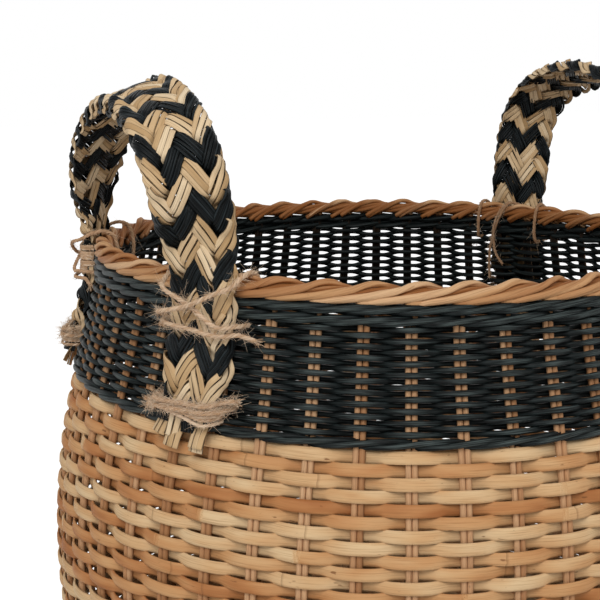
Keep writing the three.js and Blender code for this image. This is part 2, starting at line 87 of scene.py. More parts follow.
def wall_radius(height):
    """Radius of the wall's middle line at a height.

    Below the belly it falls away with a power of the share of the way down. From the belly to
    the shoulder it is a parabola. Above, a cubic with the parabola's end slope leans to the rim.
    """
    height = np.asarray(height, float)
    below = np.clip((BELLY_HEIGHT - height) / BELLY_HEIGHT, 0, 1)
    low = BELLY_RADIUS - (BELLY_RADIUS - BASE_RADIUS) * below**LOWER_CURVE
    span = SHOULDER_HEIGHT - BELLY_HEIGHT
    above = np.clip((height - BELLY_HEIGHT) / span, 0, 1)
    middle = BELLY_RADIUS - (BELLY_RADIUS - SHOULDER_RADIUS) * above**2
    top_span = RIM_HEIGHT - SHOULDER_HEIGHT
    t = np.clip((height - SHOULDER_HEIGHT) / top_span, 0, 1)
    start_slope = -2 * (BELLY_RADIUS - SHOULDER_RADIUS) * top_span / span
    lean = (RIM_RADIUS - SHOULDER_RADIUS) * (3 * t**2 - 2 * t**3)
    high = SHOULDER_RADIUS + lean + start_slope * (t**3 - 2 * t**2 + t)
    return np.where(height <= BELLY_HEIGHT, low, np.where(height <= SHOULDER_HEIGHT, middle, high))


def polar(radius, angle, height):
    """Places at a distance from the basket's middle line, an angle about it and a height."""
    return np.stack(np.broadcast_arrays(radius * np.cos(angle), radius * np.sin(angle), height), axis=-1)


def wall_point(angle, height, out):
    """Point at a distance out of the wall's middle line, measured square to the wall.

    The wall's outward direction is the radial one tilted up by the wall's own slope.
    """
    step = 0.5
    slope = (wall_radius(height + step) - wall_radius(height - step)) / (2 * step)
    size = np.sqrt(1 + slope**2)
    radius = wall_radius(height) + out / size
    lift = height - out * slope / size
    return polar(radius, angle, lift)


print("belly, shoulder and rim radius:", wall_radius([BELLY_HEIGHT, SHOULDER_HEIGHT, RIM_HEIGHT]))

# %% [markdown]
# ## Camera, light and floor
#
# The camera stands where the photograph was taken: it was solved from the rim's ellipse, the
# stakes and the outline. The lens is long, so the rim reads as a shallow ellipse. The light is a
# plain studio one: a pale surround and a soft lamp above, which makes the top edges of the strips
# bright and leaves the gaps dark.

# %% Camera


def put_in_scene(name, data):
    """Makes an object of its data and links it into the scene."""
    made = bpy.data.objects.new(name, data)
    bpy.context.scene.collection.objects.link(made)
    return made


camera_data = bpy.data.cameras.new("camera")
camera_data.lens = 74.18
camera_data.sensor_width = 36.0
camera_data.clip_start = 0.05
camera_data.clip_end = 50.0
camera = put_in_scene("camera", camera_data)
camera.location = (-0.3974, -0.6953, 0.4796)
camera.rotation_euler = (math.radians(78.89), 0.0, math.radians(-25.52))
bpy.context.scene.camera = camera
bpy.context.scene.view_settings.view_transform = "Standard"
print("camera place in metres:", tuple(round(v, 4) for v in camera.location))

# %% Colour and node helpers


def linear(code):
    """Turns an sRGB hex colour into the linear values that Blender's sockets want."""
    srgb = [int(code[i : i + 2], 16) / 255 for i in (1, 3, 5)]
    return [c / 12.92 if c <= 0.04045 else ((c + 0.055) / 1.055) ** 2.4 for c in srgb] + [1.0]


def add(tree, kind, links=None, stops=(), values=None, **settings):
    """Adds one shader node of a kind. Settings are socket values or node properties.

    Links are socket: source, and a node stands for its first output. Stops are a colour ramp's
    places and hex colours, and values are socket number: value.
    """
    made = tree.nodes.new("ShaderNode" + kind)
    for position, code in stops[1:-1]:
        made.color_ramp.elements.new(position).color = linear(code)
    if stops:
        made.color_ramp.elements[0].color = linear(stops[0][1])
        made.color_ramp.elements[-1].color = linear(stops[-1][1])
    for key, value in settings.items():
        if key in made.bl_rna.properties:
            setattr(made, key, value)
        else:
            made.inputs[key.replace("_", " ")].default_value = value
    for number, value in (values or {}).items():
        made.inputs[number].default_value = value
    for socket, source in (links or {}).items():
        output = source.outputs[0] if isinstance(source, bpy.types.Node) else source
        tree.links.new(output, made.inputs[socket])
    return made


def empty_tree(owner):
    """Turns on the nodes of a world or a material and clears them."""
    owner.use_nodes = True
    owner.node_tree.nodes.clear()
    return owner.node_tree


def seen_directly(tree):
    """Adds nodes that give 1 to rays from the camera, a reflection or a refraction, else 0."""
    ways = add(tree, "LightPath").outputs
    seen = add(tree, "Math", {0: ways["Is Camera Ray"], 1: ways["Is Glossy Ray"]}, operation="MAXIMUM")
    return add(tree, "Math", {0: seen, 1: ways["Is Transmission Ray"]}, operation="MAXIMUM")

# %% Light and floor
world = bpy.data.worlds.new("pale_surround")
bpy.context.scene.world = world
tree = empty_tree(world)
fill = add(tree, "Background", Color=linear("#ffffff"), Strength=0.42)
white = add(tree, "Background", Color=linear("#ffffff"), Strength=1.0)
shown = add(tree, "MixShader", {0: seen_directly(tree), 1: fill, 2: white})
add(tree, "OutputWorld", {"Surface": shown})

BASKET_MIDDLE = (0.0, 0.0, 0.25)
FLOOR_REACH = 8.0
FLOOR_GLOW_SHARE = 0.5


def softbox(name, place, size, power):
    """A square area lamp at a place in metres, turned to look at the basket's middle."""
    data = bpy.data.lights.new(name, "AREA")
    data.shape = "SQUARE"
    data.size = size
    data.energy = power
    lamp = put_in_scene(name, data)
    lamp.location = place
    lamp.rotation_euler = (Vector(BASKET_MIDDLE) - Vector(place)).to_track_quat("-Z", "Y").to_euler()


softbox("lamp_over", (-0.85, -1.05, 1.3), size=0.7, power=13.2)
softbox("lamp_side", (1.5, -1.3, 1.3), size=1.0, power=6.0)

floor_mesh = bpy.data.meshes.new("floor")
corners = [(x * FLOOR_REACH, y * FLOOR_REACH, 0) for x, y in ((-1, -1), (1, -1), (1, 1), (-1, 1))]
floor_mesh.from_pydata(corners, [], [(0, 1, 2, 3)])
floor = put_in_scene("floor", floor_mesh)
floor_paint = bpy.data.materials.new("matt_white_floor")
tree = empty_tree(floor_paint)
share = add(tree, "Math", {0: seen_directly(tree)}, values={1: FLOOR_GLOW_SHARE}, operation="MULTIPLY")
matt = add(tree, "BsdfDiffuse", Color=linear("#f4f4f4"))
glow = add(tree, "Emission", Color=linear("#ffffff"), Strength=1.75)
both = add(tree, "MixShader", {0: share, 1: matt, 2: glow})
add(tree, "OutputMaterial", {"Surface": both})
floor_mesh.materials.append(floor_paint)

# %% [markdown]
# ## How a strand becomes a mesh
#
# Every strand of the basket is the same kind of surface: a small closed profile carried along a
# path. One function does it for many strands at once, as whole arrays. Each strand also gets a
# UV map in millimetres (round it and along it) and a colour attribute called tone, so that a
# material can give each strand its own shade and run its grain along the fibre. Bevelled curves
# could make such strands too, but they carry no attribute that tells a material which strand it
# is on.

# %% Strand helpers
RNG = np.random.default_rng(7)
MM_PER_M = 1000
GRAIN_START = 400
UPWARD = np.array([0.0, 0.0, 1.0])
HALF_TURN = np.array([-1.0, -1.0, 1.0])


def smoothstep(value, low, high):
    """Goes from 0 to 1 between low and high, flat at both ends."""
    t = np.clip((value - low) / (high - low), 0, 1)
    return t * t * (3 - 2 * t)


def unit(vectors):
    """Vectors divided by their own length."""
    return vectors / np.linalg.norm(vectors, axis=-1, keepdims=True)


def along(paths, closed=False):
    """Direction of travel at each point of each path, from the points on either side of it."""
    if closed:
        return unit(np.roll(paths, -1, axis=1) - np.roll(paths, 1, axis=1))
    return unit(np.gradient(paths, axis=1))


def run_along(paths):
    """Length travelled so far at each point of each path."""
    travel = np.linalg.norm(np.diff(paths, axis=-2), axis=-1)
    return np.concatenate([np.zeros(travel.shape[:-1] + (1,)), np.cumsum(travel, axis=-1)], axis=-1)


def square_to(travel, vectors):
    """Unit vectors square to the travel, the nearest to the given ones."""
    return unit(vectors - (vectors * travel).sum(-1, keepdims=True) * travel)


def frames(paths, up, closed=False):
    """Sideways and outward unit directions: up made square to the path, and its cross product."""
    travel = along(paths, closed)
    out = square_to(travel, up)
    return np.cross(travel, out), out

# %% Drift and profiles


def wander(count, steps, knots, size, closed=False):
    """Smooth random drift for each path: random values at even knots, joined by cosine steps."""
    values = RNG.uniform(-1, 1, (count, knots + 1))
    if closed:
        values[:, -1] = values[:, 0]
    place = np.linspace(0, knots, steps, endpoint=not closed)
    left = np.minimum(place.astype(int), knots - 1)
    share = (1 - np.cos((place - left) * math.pi)) / 2
    return size * (values[:, left] * (1 - share) + values[:, left + 1] * share)


def round_profile(points):
    """A circle of radius one."""
    turn = np.arange(points) / points * 2 * math.pi
    return np.stack([np.cos(turn), np.sin(turn)], axis=-1)


def strip_profile(points, squareness=0.6):
    """A flat strip with rounded edges: cosine and sine raised to a power below one."""
    turn = (np.arange(points) + 0.5) / points * 2 * math.pi
    x = np.sign(np.cos(turn)) * np.abs(np.cos(turn)) ** squareness
    y = np.sign(np.sin(turn)) * np.abs(np.sin(turn)) ** 0.8
    return np.stack([x, y], axis=-1)

# %% One mesh of many strands


def strand_piece(name, paths, sides, outs, profile, tone, closed=False):
    """One mesh of many strands.

    A surface point is: path point + sideways vector times the profile's x + outward vector times
    its y. The vectors carry the half width and half thickness. Tone is (strands, steps, profile
    points, 4), or anything that broadcasts to it.
    """
    count, steps = paths.shape[:2]
    points = len(profile)
    surface = paths[:, :, None] + sides[:, :, None] * profile[:, :1] + outs[:, :, None] * profile[:, 1:]
    index = np.arange(count * steps * points).reshape(count, steps, points)
    spans = steps if closed else steps - 1
    here = index[:, :spans]
    after = np.roll(index, -1, axis=1)[:, :spans]
    walls = np.stack([here, np.roll(here, -1, axis=2), np.roll(after, -1, axis=2), after], axis=-1)
    parts = [walls.reshape(-1, 4)]
    for end, order in () if closed else ((0, -1), (steps - 1, 1)):
        ring = index[:, end].T
        for k in range(points // 2 - 1):
            corners = [ring[k], ring[k + 1], ring[points - k - 2], ring[points - k - 1]]
            parts.append(np.stack(corners[::order], axis=-1))
    faces = np.concatenate(parts)
    flat = surface.reshape(-1, 3)
    a, b, c, d = (flat[faces[:, i]] for i in range(4))
    volume = (np.cross(b - a, c - a) * a).sum() + (np.cross(c - a, d - a) * a).sum()
    if volume < 0:
        faces = faces[:, ::-1]
    edge = np.linalg.norm(np.roll(profile, -1, axis=0) - profile, axis=1)
    girth = np.concatenate([[0], np.cumsum(edge)]) * np.linalg.norm(sides, axis=-1).mean()
    length = run_along(paths)
    length = np.concatenate([length, length[:, -1:] + length[:, 1:2]], axis=1)
    length = length + RNG.uniform(0, GRAIN_START, (count, 1))
    shape = (count, spans, points)
    girths = [np.broadcast_to(v, shape) for v in (girth[:-1], girth[1:])]
    lengths = [np.broadcast_to(length[:, i : spans + i, None], shape) for i in (0, 1)]
    loops = [np.stack([girths[i], lengths[j]], -1) for i, j in ((0, 0), (1, 0), (1, 1), (0, 1))]
    uv = np.stack(loops, axis=-2).reshape(-1, 4, 2)
    uv = np.concatenate([uv, np.zeros((len(faces) - len(uv), 4, 2))])
    if volume < 0:
        uv = uv[:, ::-1]
    mesh = bpy.data.meshes.new(name)
    mesh.from_pydata((flat / MM_PER_M).astype(np.float32), [], faces)
    mesh.shade_smooth()
    layer = mesh.uv_layers.new(name="strand")
    layer.uv.foreach_set("vector", uv.astype(np.float32).ravel())
    shade = mesh.color_attributes.new("tone", "FLOAT_COLOR", "POINT")
    full = np.broadcast_to(tone, (count, steps, points, 4))
    shade.data.foreach_set("color", full.astype(np.float32).ravel())
    made = put_in_scene(name, mesh)
    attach(made, "root")
    print(f"{name}: {count} strands, {2 * len(faces)} triangles")
    return made

# %% Tone and finish


def tone_of(first, second, third, shape):
    """Tone values as one array: the strand's shade, its seed and a mask, each broadcast to shape."""
    parts = [np.broadcast_to(np.asarray(v, float), shape) for v in (first, second, third)]
    return np.stack(parts + [np.ones(shape)], axis=-1)


def plain_tone(count, steps, low, high):
    """Tone of strands that each have one shade and one seed, and no mask."""
    shade = RNG.uniform(low, high, (count, 1, 1))
    return tone_of(shade, RNG.uniform(0, 1, (count, 1, 1)), 0.0, (count, steps, 1))


def finish_piece(piece, material, slot, *nodes):
    """Gives a piece its material and hides the CAD nodes that it stands for; slot is not used."""
    piece.data.materials.append(material)
    if nodes:
        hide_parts(*nodes)

# %% [markdown]
# ## Materials
#
# Rattan is a solid vine. Its core, split or drawn round, is porous and matt, pale straw to reddish
# tan, with long pores and now and then a node, where a leaf stood. The black cores are dyed; the
# grey on their high places is a painted highlight. The braids are seagrass: flat soft blades, some
# dyed black. The lashings are jute, dull brown and hairy. Most materials also lay a mask colour
# as painted shade on inner faces, in grooves and at blade edges. All of them have fibre that runs
# along the strand, so one function builds the fibre and each material gives it colours and sizes.
# An image would show the same marks on every strand; noise that is stretched along the strand's
# own UV map never repeats, and its scale is in millimetres.

# %% Strand materials
# Sockets of a Mix node that takes colours: the colour below, the one laid on it, and the result
MIX_BELOW = 6
MIX_ABOVE = 7
MIX_RESULT = 2
SEED_SPREAD = 40.0
NODE_WIDTH = 1.6
NODE_SHIFT = 7.3
NODE_WAVE = 5.0


def fibre_material(name, shades, fibre=(0.35, 26.0), depth=0.12, roughness=0.6, streak="#8a6a48",
                   streak_share=0.35, spot="#5a3a22", spot_size=(2.2, 7.0), spot_level=0.72,
                   mask_colour="#000000", mask_share=0.0, drift=0.35, drift_length=60.0, shine=0.35,
                   node_every=0.0, mask_from=0.3):
    """A plant fibre: shade by strand, long pores, streaks, and rare spots.

    fibre is the pores' width and length in mm, depth the relief in mm. The shade is the tone's
    first channel moved by a slow drift along the strand. The mask colour is laid on by the tone's
    third channel: it is painted shade on inner faces, in grooves and at blade edges, and a painted
    highlight on the black cores' raised places. node_every is the length in mm between the dark
    rings where leaves stood.
    """
    material = bpy.data.materials.new(name)
    tree = empty_tree(material)
    uv = add(tree, "UVMap", uv_map="strand")
    tone = add(tree, "Attribute", attribute_name="tone")
    parts = add(tree, "SeparateColor", {"Color": tone.outputs["Color"]})
    place = add(tree, "SeparateXYZ", {0: uv})

    def field(width, length, detail):
        """Noise stretched to a width round the strand and a length along it, in mm."""
        across = add(tree, "Math", {0: place}, values={1: width}, operation="DIVIDE")
        onward = add(tree, "Math", {0: place.outputs[1]}, values={1: length}, operation="DIVIDE")
        seed = add(tree, "Math", {0: parts.outputs[1]}, values={1: SEED_SPREAD}, operation="MULTIPLY")
        spot_at = add(tree, "CombineXYZ", {0: across, 1: onward, 2: seed})
        return add(tree, "TexNoise", {"Vector": spot_at}, Scale=1.0, Detail=detail, Roughness=0.55)

    pores = field(*fibre, 3.0)
    slow = field(9.0, drift_length, 1.5)
    marks = field(*spot_size, 1.5)
    # Painted shade and painted highlight: the tone's third channel times the pores
    painted_light_mask = add(tree, "Math", {0: parts.outputs[2], 1: pores}, operation="MULTIPLY")
    # A layer: its source, the two ends of the source's range, its share at each end, its colour
    layers = [(pores, 0.5, 0.75, 0.0, streak_share, streak),
              (marks, spot_level, spot_level + 0.06, 0.0, 0.8, spot)]
    if node_every:
        shifted = add(tree, "Math", {0: parts.outputs[1], 2: place.outputs[1]},
                      values={1: node_every * NODE_SHIFT}, operation="MULTIPLY_ADD")
        wavy = add(tree, "Math", {0: slow, 2: shifted}, values={1: NODE_WAVE}, operation="MULTIPLY_ADD")
        turns = add(tree, "Math", {0: wavy}, values={1: node_every}, operation="DIVIDE")
        part_of = add(tree, "Math", {0: turns}, operation="FRACT")
        layers.append((part_of, 0.0, NODE_WIDTH / node_every, 0.5, 0.0, spot))
    layers.append((painted_light_mask, mask_from, mask_from + 0.3, 0.0, mask_share, mask_colour))

    centred = add(tree, "Math", {0: slow}, values={1: 0.5}, operation="SUBTRACT")
    moved = add(tree, "Math", {0: centred, 2: parts}, values={1: drift}, operation="MULTIPLY_ADD")
    shown = add(tree, "ValToRGB", {"Fac": moved}, stops=shades).outputs["Color"]
    for source, low, high, first, last, colour in layers:
        level = add(tree, "MapRange", {"Value": source}, From_Min=low, From_Max=high, To_Min=first,
                    To_Max=last)
        shown = add(tree, "Mix", {"Factor": level, MIX_BELOW: shown}, values={MIX_ABOVE: linear(colour)},
                    data_type="RGBA").outputs[MIX_RESULT]
    relief = add(tree, "Bump", {"Height": pores}, Strength=1.0, Distance=depth / MM_PER_M)
    dull = add(tree, "MapRange", {"Value": pores}, From_Min=0.3, From_Max=0.7,
               To_Min=roughness - 0.08, To_Max=roughness + 0.1)
    surface = add(tree, "BsdfPrincipled", {"Base Color": shown, "Roughness": dull, "Normal": relief},
                  IOR=1.45, Specular_IOR_Level=shine)
    add(tree, "OutputMaterial", {"Surface": surface})
    return material

# %% Rattan and black cane
# Split rattan core: straw, tan and reddish strips come mixed in one bundle
# Its dark brown mask colour is painted shade on the strips' inner faces, inside the basket
rattan_strip = fibre_material(
    "split_rattan_strip",
    [(0.0, "#a3673a"), (0.2, "#b98050"), (0.45, "#c89665"), (0.7, "#d2a97a"), (1.0, "#dcbd92")],
    fibre=(0.5, 24.0), streak="#94653b", streak_share=0.55, spot="#754a2a", spot_level=0.72,
    drift=0.95, drift_length=30.0, node_every=260.0, depth=0.18, shine=0.2,
    mask_colour="#452a14", mask_share=0.74, mask_from=0.2,
)
# Round rattan stakes: a little redder and browner than the strips, because they lie in shade
# Its near-black mask colour goes on the stakes' inner faces, nearly fully above the shoulder; below it, at a
# fifth, it is painted shade of the basket's inside
rattan_stake = fibre_material(
    "round_rattan_stake",
    [(0.0, "#96663f"), (0.5, "#ba8a61"), (1.0, "#d5ae86")],
    fibre=(0.4, 16.0), streak="#7d5030", streak_share=0.6, spot="#6f4a30", roughness=0.62,
    mask_colour="#120c08", mask_share=0.98, mask_from=0.03, shine=0.2,
)
# Steamed rim cores: the bending heat turns them reddish tan
# Its dark reddish mask colour is painted shade in the grooves between cores, on the rim's inner side and on
# the hidden heart
rim_cane = fibre_material(
    "steam_bent_rim_core",
    [(0.0, "#a06a40"), (0.5, "#c29467"), (1.0, "#d8b188")],
    fibre=(0.45, 24.0), streak="#84502c", streak_share=0.65, spot="#80532f", roughness=0.55, depth=0.3,
    mask_colour="#844c1e", mask_share=0.85, mask_from=0.2, shine=0.2,
)
# Dyed round core: blue black, with grey-green streaks along the pores and grey on the raised outer places,
# both painted highlights
black_cane = fibre_material(
    "dyed_black_round_core",
    [(0.0, "#030505"), (0.5, "#070a0a"), (1.0, "#0f1414")],
    fibre=(0.28, 16.0), streak="#434e4e", streak_share=0.8, spot="#040505", roughness=0.42, shine=0.12,
    mask_colour="#5a6462", mask_share=0.75, mask_from=0.4, depth=0.2,
)
# %% Seagrass and jute
# Seagrass blade: pale straw, long veins, a dull waxy surface
# Its dark brown mask colour goes on each blade's edges: painted shade in the gaps between blades
seagrass = fibre_material(
    "dried_seagrass_blade",
    [(0.0, "#aa875c"), (0.35, "#c7a67b"), (0.7, "#dabd95"), (1.0, "#ead3b0")],
    fibre=(0.3, 40.0), streak="#86643a", streak_share=0.6, spot="#7a5c38", spot_level=0.76,
    roughness=0.58, depth=0.22, mask_colour="#382512", mask_share=0.9, mask_from=0.14, shine=0.2,
)
# The same blade dyed black: its grey-blue streaks along the veins are a painted sheen, and its edges are
# painted a little darker, as shade between blades
black_seagrass = fibre_material(
    "dyed_black_seagrass",
    [(0.0, "#010202"), (0.6, "#050606"), (1.0, "#0d1112")],
    fibre=(0.3, 40.0), streak="#465054", streak_share=0.7, spot="#050606", roughness=0.34, depth=0.3,
    mask_colour="#020202", mask_share=0.8, shine=0.11,
)
# Jute twine: dull grey brown, with loose fibre all over
jute = fibre_material(
    "spun_jute_twine",
    [(0.0, "#9c7757"), (0.5, "#c7a27f"), (1.0, "#ead2b6")],
    fibre=(0.25, 3.5), streak="#8a6847", spot="#6a4c2e", roughness=0.8, depth=0.25,
)

# %% [markdown]
# ## Stakes
#
# Two round cores stand side by side at each of 48 places, from the foot to the rim. They carry
# the whole weave and show as pairs of small tan squares wherever a weaver passes behind them.
# One rod copied round by a modifier would give 48 equal pairs. Rods laid by a formula follow the
# wall as closely, and each can drift and have its own shade.

# %% Stakes
PAIR_SPREAD = 1.6
STAKE_START = 6.0
STAKE_END = UPPER_WALE_TOP - 1.0
# Share of the inner-face darkening below the shoulder: painted shade of the basket's inside
BODY_INNER_SHADE = 0.2


def make_stakes():
    """Rods up the wall: the path is the wall's middle line at a stake's angle, moved half a pair
    to one side, with a slow drift of a few tenths of a millimetre."""
    steps = 64
    height = np.linspace(STAKE_START, STAKE_END, steps)[None, :]
    stake = np.repeat(np.arange(STAKES), 2)[:, None]
    side = np.tile([-1.0, 1.0], STAKES)[:, None]
    shift = side * PAIR_SPREAD + wander(STAKES, steps, knots=5, size=0.35).repeat(2, axis=0)
    angle = FIRST_STAKE + stake * STAKE_STEP + shift / wall_radius(height)
    paths = wall_point(angle, height, wander(STAKES * 2, steps, knots=6, size=0.15))
    sides, outs = frames(paths, polar(1.0, angle, 0.0))
    radius = STAKE_RADIUS * (1 + wander(STAKES * 2, steps, knots=3, size=0.04))[..., None]
    shade = RNG.uniform(0.1, 0.9, (STAKES * 2, 1, 1))
    seed = RNG.uniform(0, 1, (STAKES * 2, 1, 1))
    profile = round_profile(8)
    inner = np.clip(-profile[:, 1] * 2 + 0.4, 0, 1)
    # Inner faces are darkened nearly fully above the shoulder; below it a fifth of that, as painted shade of
    # the basket's inside
    inner_darkening = inner * np.where(paths[..., 2:] > SHOULDER_HEIGHT + 2, 1.0, BODY_INNER_SHADE)
    tone = tone_of(shade, seed, inner_darkening, (STAKES * 2, steps, 8))
    return strand_piece("stakes", paths, sides * radius, outs * radius, profile, tone)


finish_piece(make_stakes(), rattan_stake, "rattan")

# %% [markdown]
# ## The natural body
#
# Flat strips go over one pair of stakes and under the next, and each row does the opposite of the
# row below it. A stiff strip doesn't wave like a sine curve: it lies nearly straight over the
# stake and dives between. A hyperbolic tangent of the cosine gives that. A shell with a bump map
# would be lighter, but no light would pass between its strips.

# %% Rows of weave
ROW_POINTS = 8
SHADE_SPREAD = (1.6, 1.3)
SEED_STEP = 0.137
STRIP_REACH = 2.7
STRIP_STIFFNESS = 1.2
STRIP_HALF_WIDTH = 3.46
STRIP_HALF_THICKNESS = 1.05


def row_heights(bottom, top, pitch):
    """Middles of even rows between two heights, as many as come nearest to the pitch."""
    rows = round((top - bottom) / pitch)
    return bottom + (np.arange(rows) + 0.5) * ((top - bottom) / rows)


def weave_rows(heights, reach, stiffness, per_stake, row_parity=0):
    """Angle, way out of the wall and swing of whole rows that go in and out with the stakes.

    Swing is cos(pi times (stake + row)), and the way out is reach times tanh(stiffness times swing).
    """
    stake = np.arange(STAKES * per_stake)[None, :] / per_stake
    row = np.arange(len(heights))[:, None] + row_parity
    swing = np.cos(math.pi * (stake + row))
    out = reach * np.tanh(stiffness * swing) / math.tanh(stiffness)
    return FIRST_STAKE + stake * STAKE_STEP + 0 * row, out, swing


def row_frames(paths, angle, height, out):
    """Sideways and outward directions of closed rows that lie on the wall."""
    up = wall_point(angle, height, out + 1.0) - wall_point(angle, height, out)
    return frames(paths, up, closed=True)


def row_tone(rows, per_stake, pieces, low, high, mask):
    """Tone of whole rows: every so often a new length, with its own shade, begins behind a stake."""
    steps = STAKES * per_stake
    bound = np.sort(RNG.integers(0, STAKES, (rows, pieces)), axis=1) * per_stake
    which = (np.arange(steps)[None, :, None] >= bound[:, None, :]).sum(-1)
    palette = RNG.beta(*SHADE_SPREAD, (rows, pieces + 1)) * (high - low) + low
    palette[:, -1] = palette[:, 0]
    shade = np.take_along_axis(palette, which, axis=1)
    seed = (which * SEED_STEP + RNG.uniform(0, 1, (rows, 1))) % 1.0
    return tone_of(shade[..., None], seed[..., None], mask, (rows, steps, ROW_POINTS))


def make_body():
    """Strip rows from the foot to the shoulder, as flat profiles on the rows' paths."""
    heights = row_heights(FOOT_HEIGHT + SEAT_GAP, SHOULDER_HEIGHT - SEAT_GAP, STRIP_PITCH)
    rows, per_stake = len(heights), 6
    steps = STAKES * per_stake
    angle, out, _ = weave_rows(heights, STRIP_REACH, STRIP_STIFFNESS, per_stake, row_parity=1)
    height = heights[:, None] + wander(rows, steps, knots=60, size=0.16, closed=True)
    paths = wall_point(angle, height, out + wander(rows, steps, knots=40, size=0.12, closed=True))
    sides, outs = row_frames(paths, angle, height, out)
    roll = wander(rows, steps, knots=50, size=0.1, closed=True)[..., None]
    sides, outs = sides * np.cos(roll) + outs * np.sin(roll), outs * np.cos(roll) - sides * np.sin(roll)
    slope = (wall_radius(heights + 1.0) - wall_radius(heights - 1.0))[:, None] / 2
    width = STRIP_HALF_WIDTH * np.sqrt(1 + slope**2)
    width = width * (1 + wander(rows, steps, knots=30, size=0.03, closed=True))
    profile = strip_profile(ROW_POINTS)
    # The mask is the strips' inner side: painted shade of the basket's inside
    tone = row_tone(rows, per_stake, 5, 0.0, 1.0, np.clip(-profile[:, 1] * 2, 0, 1))
    return strand_piece("body_strips", paths, sides * width[..., None], outs * STRIP_HALF_THICKNESS,
                        profile, tone, True)


finish_piece(make_body(), rattan_strip, "rattan", "body_weave")

# %% [markdown]
# ## The black band
#
# Nineteen rows of dyed round core in the same plain weave. The cores are thinner than the strips
# and stiffer, so they leave oval gaps beside each stake: daylight shows through the far wall. The
# same function of stake and row lays them, with more points to a stake because the bends are
# tighter, and the cores swell a little where they press on the stakes.

# %% Band rows
CORE_REACH = 3.1
CORE_STIFFNESS = 1.5
CORE_RADIUS = 1.42
CORE_SWELL = 0.33


def proud(swing, level, profile):
    """Mask of a row's outer side, strongest where the row lies furthest out of the wall."""
    # On the black cores this mask carries the painted highlight; on the stake material it lays that
    # material's near-black shade colour
    return np.clip(swing[..., None] * 0.5 + level, 0, 1) * np.clip(profile[:, 1] + 0.4, 0, 1)


def make_band():
    """Round rows between the two wales, fuller on the stakes and midway between them."""
    heights = row_heights(LOWER_WALE_TOP + SEAT_GAP, UPPER_WALE_BOTTOM - SEAT_GAP, CORE_PITCH)
    rows, per_stake = len(heights), 12
    steps = STAKES * per_stake
    angle, out, swing = weave_rows(heights, CORE_REACH, CORE_STIFFNESS, per_stake)
    height = heights[:, None] + wander(rows, steps, knots=70, size=0.2, closed=True)
    paths = wall_point(angle, height, out + wander(rows, steps, knots=50, size=0.12, closed=True))
    sides, outs = row_frames(paths, angle, height, out)
    full = np.maximum(np.exp(-((swing / 0.34) ** 2)), smoothstep(np.abs(swing), 0.8, 0.98))
    radius = CORE_RADIUS + CORE_SWELL * full + wander(rows, steps, knots=40, size=0.06, closed=True)
    radius = radius[..., None]
    profile = round_profile(ROW_POINTS)
    # The proud mask places the painted highlight on the rows' raised outer places
    tone = row_tone(rows, per_stake, 4, 0.1, 0.9, proud(swing, 0.5, profile))
    return strand_piece("band_cores", paths, sides * radius, outs * radius, profile, tone, True)


finish_piece(make_band(), black_cane, "black_cane", "band_weave")

# %% [markdown]
# ## Wales
#
# A wale is three cores worked together: each passes in front of two stakes and behind one, and
# starts one stake after its neighbour. In front, a core climbs over the tail of the one before it,
# so the strokes slant up to the right and lock the weave above and below. Three curves could be
# drawn by hand and copied round. Two waves of the same period say it in one formula: one for the
# height and one for the way out, the same for all three cores but for where each starts.

# %% Wales
WALE_STIFFNESS = 1.6
WALE_LEAN = 0.45
WALE_CLEARANCE = 0.1
WALE_LAP = 0.5
FOOT_LIFT = 3.8


def make_wale(name, bottom, top, rounds, radius, slope_height, material, slot, node):
    """Three cores a round. With p the share of a core's three-stake period, its height goes with
    sin(2 pi (p - 1/3)) and its way out with tanh of (cos(2 pi (p - 1/3)) + WALE_LEAN)."""
    per_stake = 6
    steps = STAKES * per_stake
    core = np.arange(rounds * 3)[:, None]
    level = core // 3
    pitch = (top - bottom) / rounds
    stake = np.arange(steps)[None, :] / per_stake
    share = (stake - core % 3 - level * 1.5) / 3
    turn = 2 * math.pi * (share - 1 / 3)
    height = bottom + pitch * (level + 0.5) + slope_height * np.sin(turn)
    height = height + wander(len(core), steps, knots=60, size=0.15, closed=True)
    reach = STAKE_RADIUS + radius + WALE_CLEARANCE
    out = reach * np.tanh(WALE_STIFFNESS * (np.cos(turn) + WALE_LEAN)) / math.tanh(WALE_STIFFNESS)
    angle = FIRST_STAKE + stake * STAKE_STEP + 0 * core
    paths = wall_point(angle, height, out)
    sides, outs = row_frames(paths, angle, height, out)
    thick = (radius * (1 + wander(len(core), steps, knots=40, size=0.05, closed=True)))[..., None]
    profile = round_profile(ROW_POINTS)
    # The proud mask places the painted highlight on black cane; on the foot cores it lays the stake
    # material's near-black shade colour
    tone = row_tone(len(core), per_stake, 3, 0.1, 0.9, proud(np.cos(turn), 0.6, profile))
    made = strand_piece(name, paths, sides * thick, outs * thick, profile, tone, True)
    finish_piece(made, material, slot, node)


make_wale("lower_wale_cores", SHOULDER_HEIGHT, LOWER_WALE_TOP, rounds=1, radius=1.7, slope_height=1.4,
          material=black_cane, slot="black_cane", node="lower_wale")
make_wale("upper_wale_cores", UPPER_WALE_BOTTOM - WALE_LAP, UPPER_WALE_TOP, rounds=2, radius=1.9,
          slope_height=1.35, material=black_cane, slot="black_cane", node="upper_wale")
make_wale("foot_cores", FOOT_LIFT, FOOT_HEIGHT, rounds=2, radius=2.0, slope_height=1.6,
          material=rattan_stake, slot="rattan", node="foot_wale")

# %% [markdown]
# ## The rim
#
# At the top each pair of stakes is soaked, bent over to the right and rolled round its neighbours:
# out from the wall, slowly up the outside for two stakes, over the top in a hump, and down inside,
# where it is cut. Seen along the rim this is a helix about the rim's middle line, so the path is
# an angle and a distance from that line as functions of how far it has travelled.

# %% A smooth path


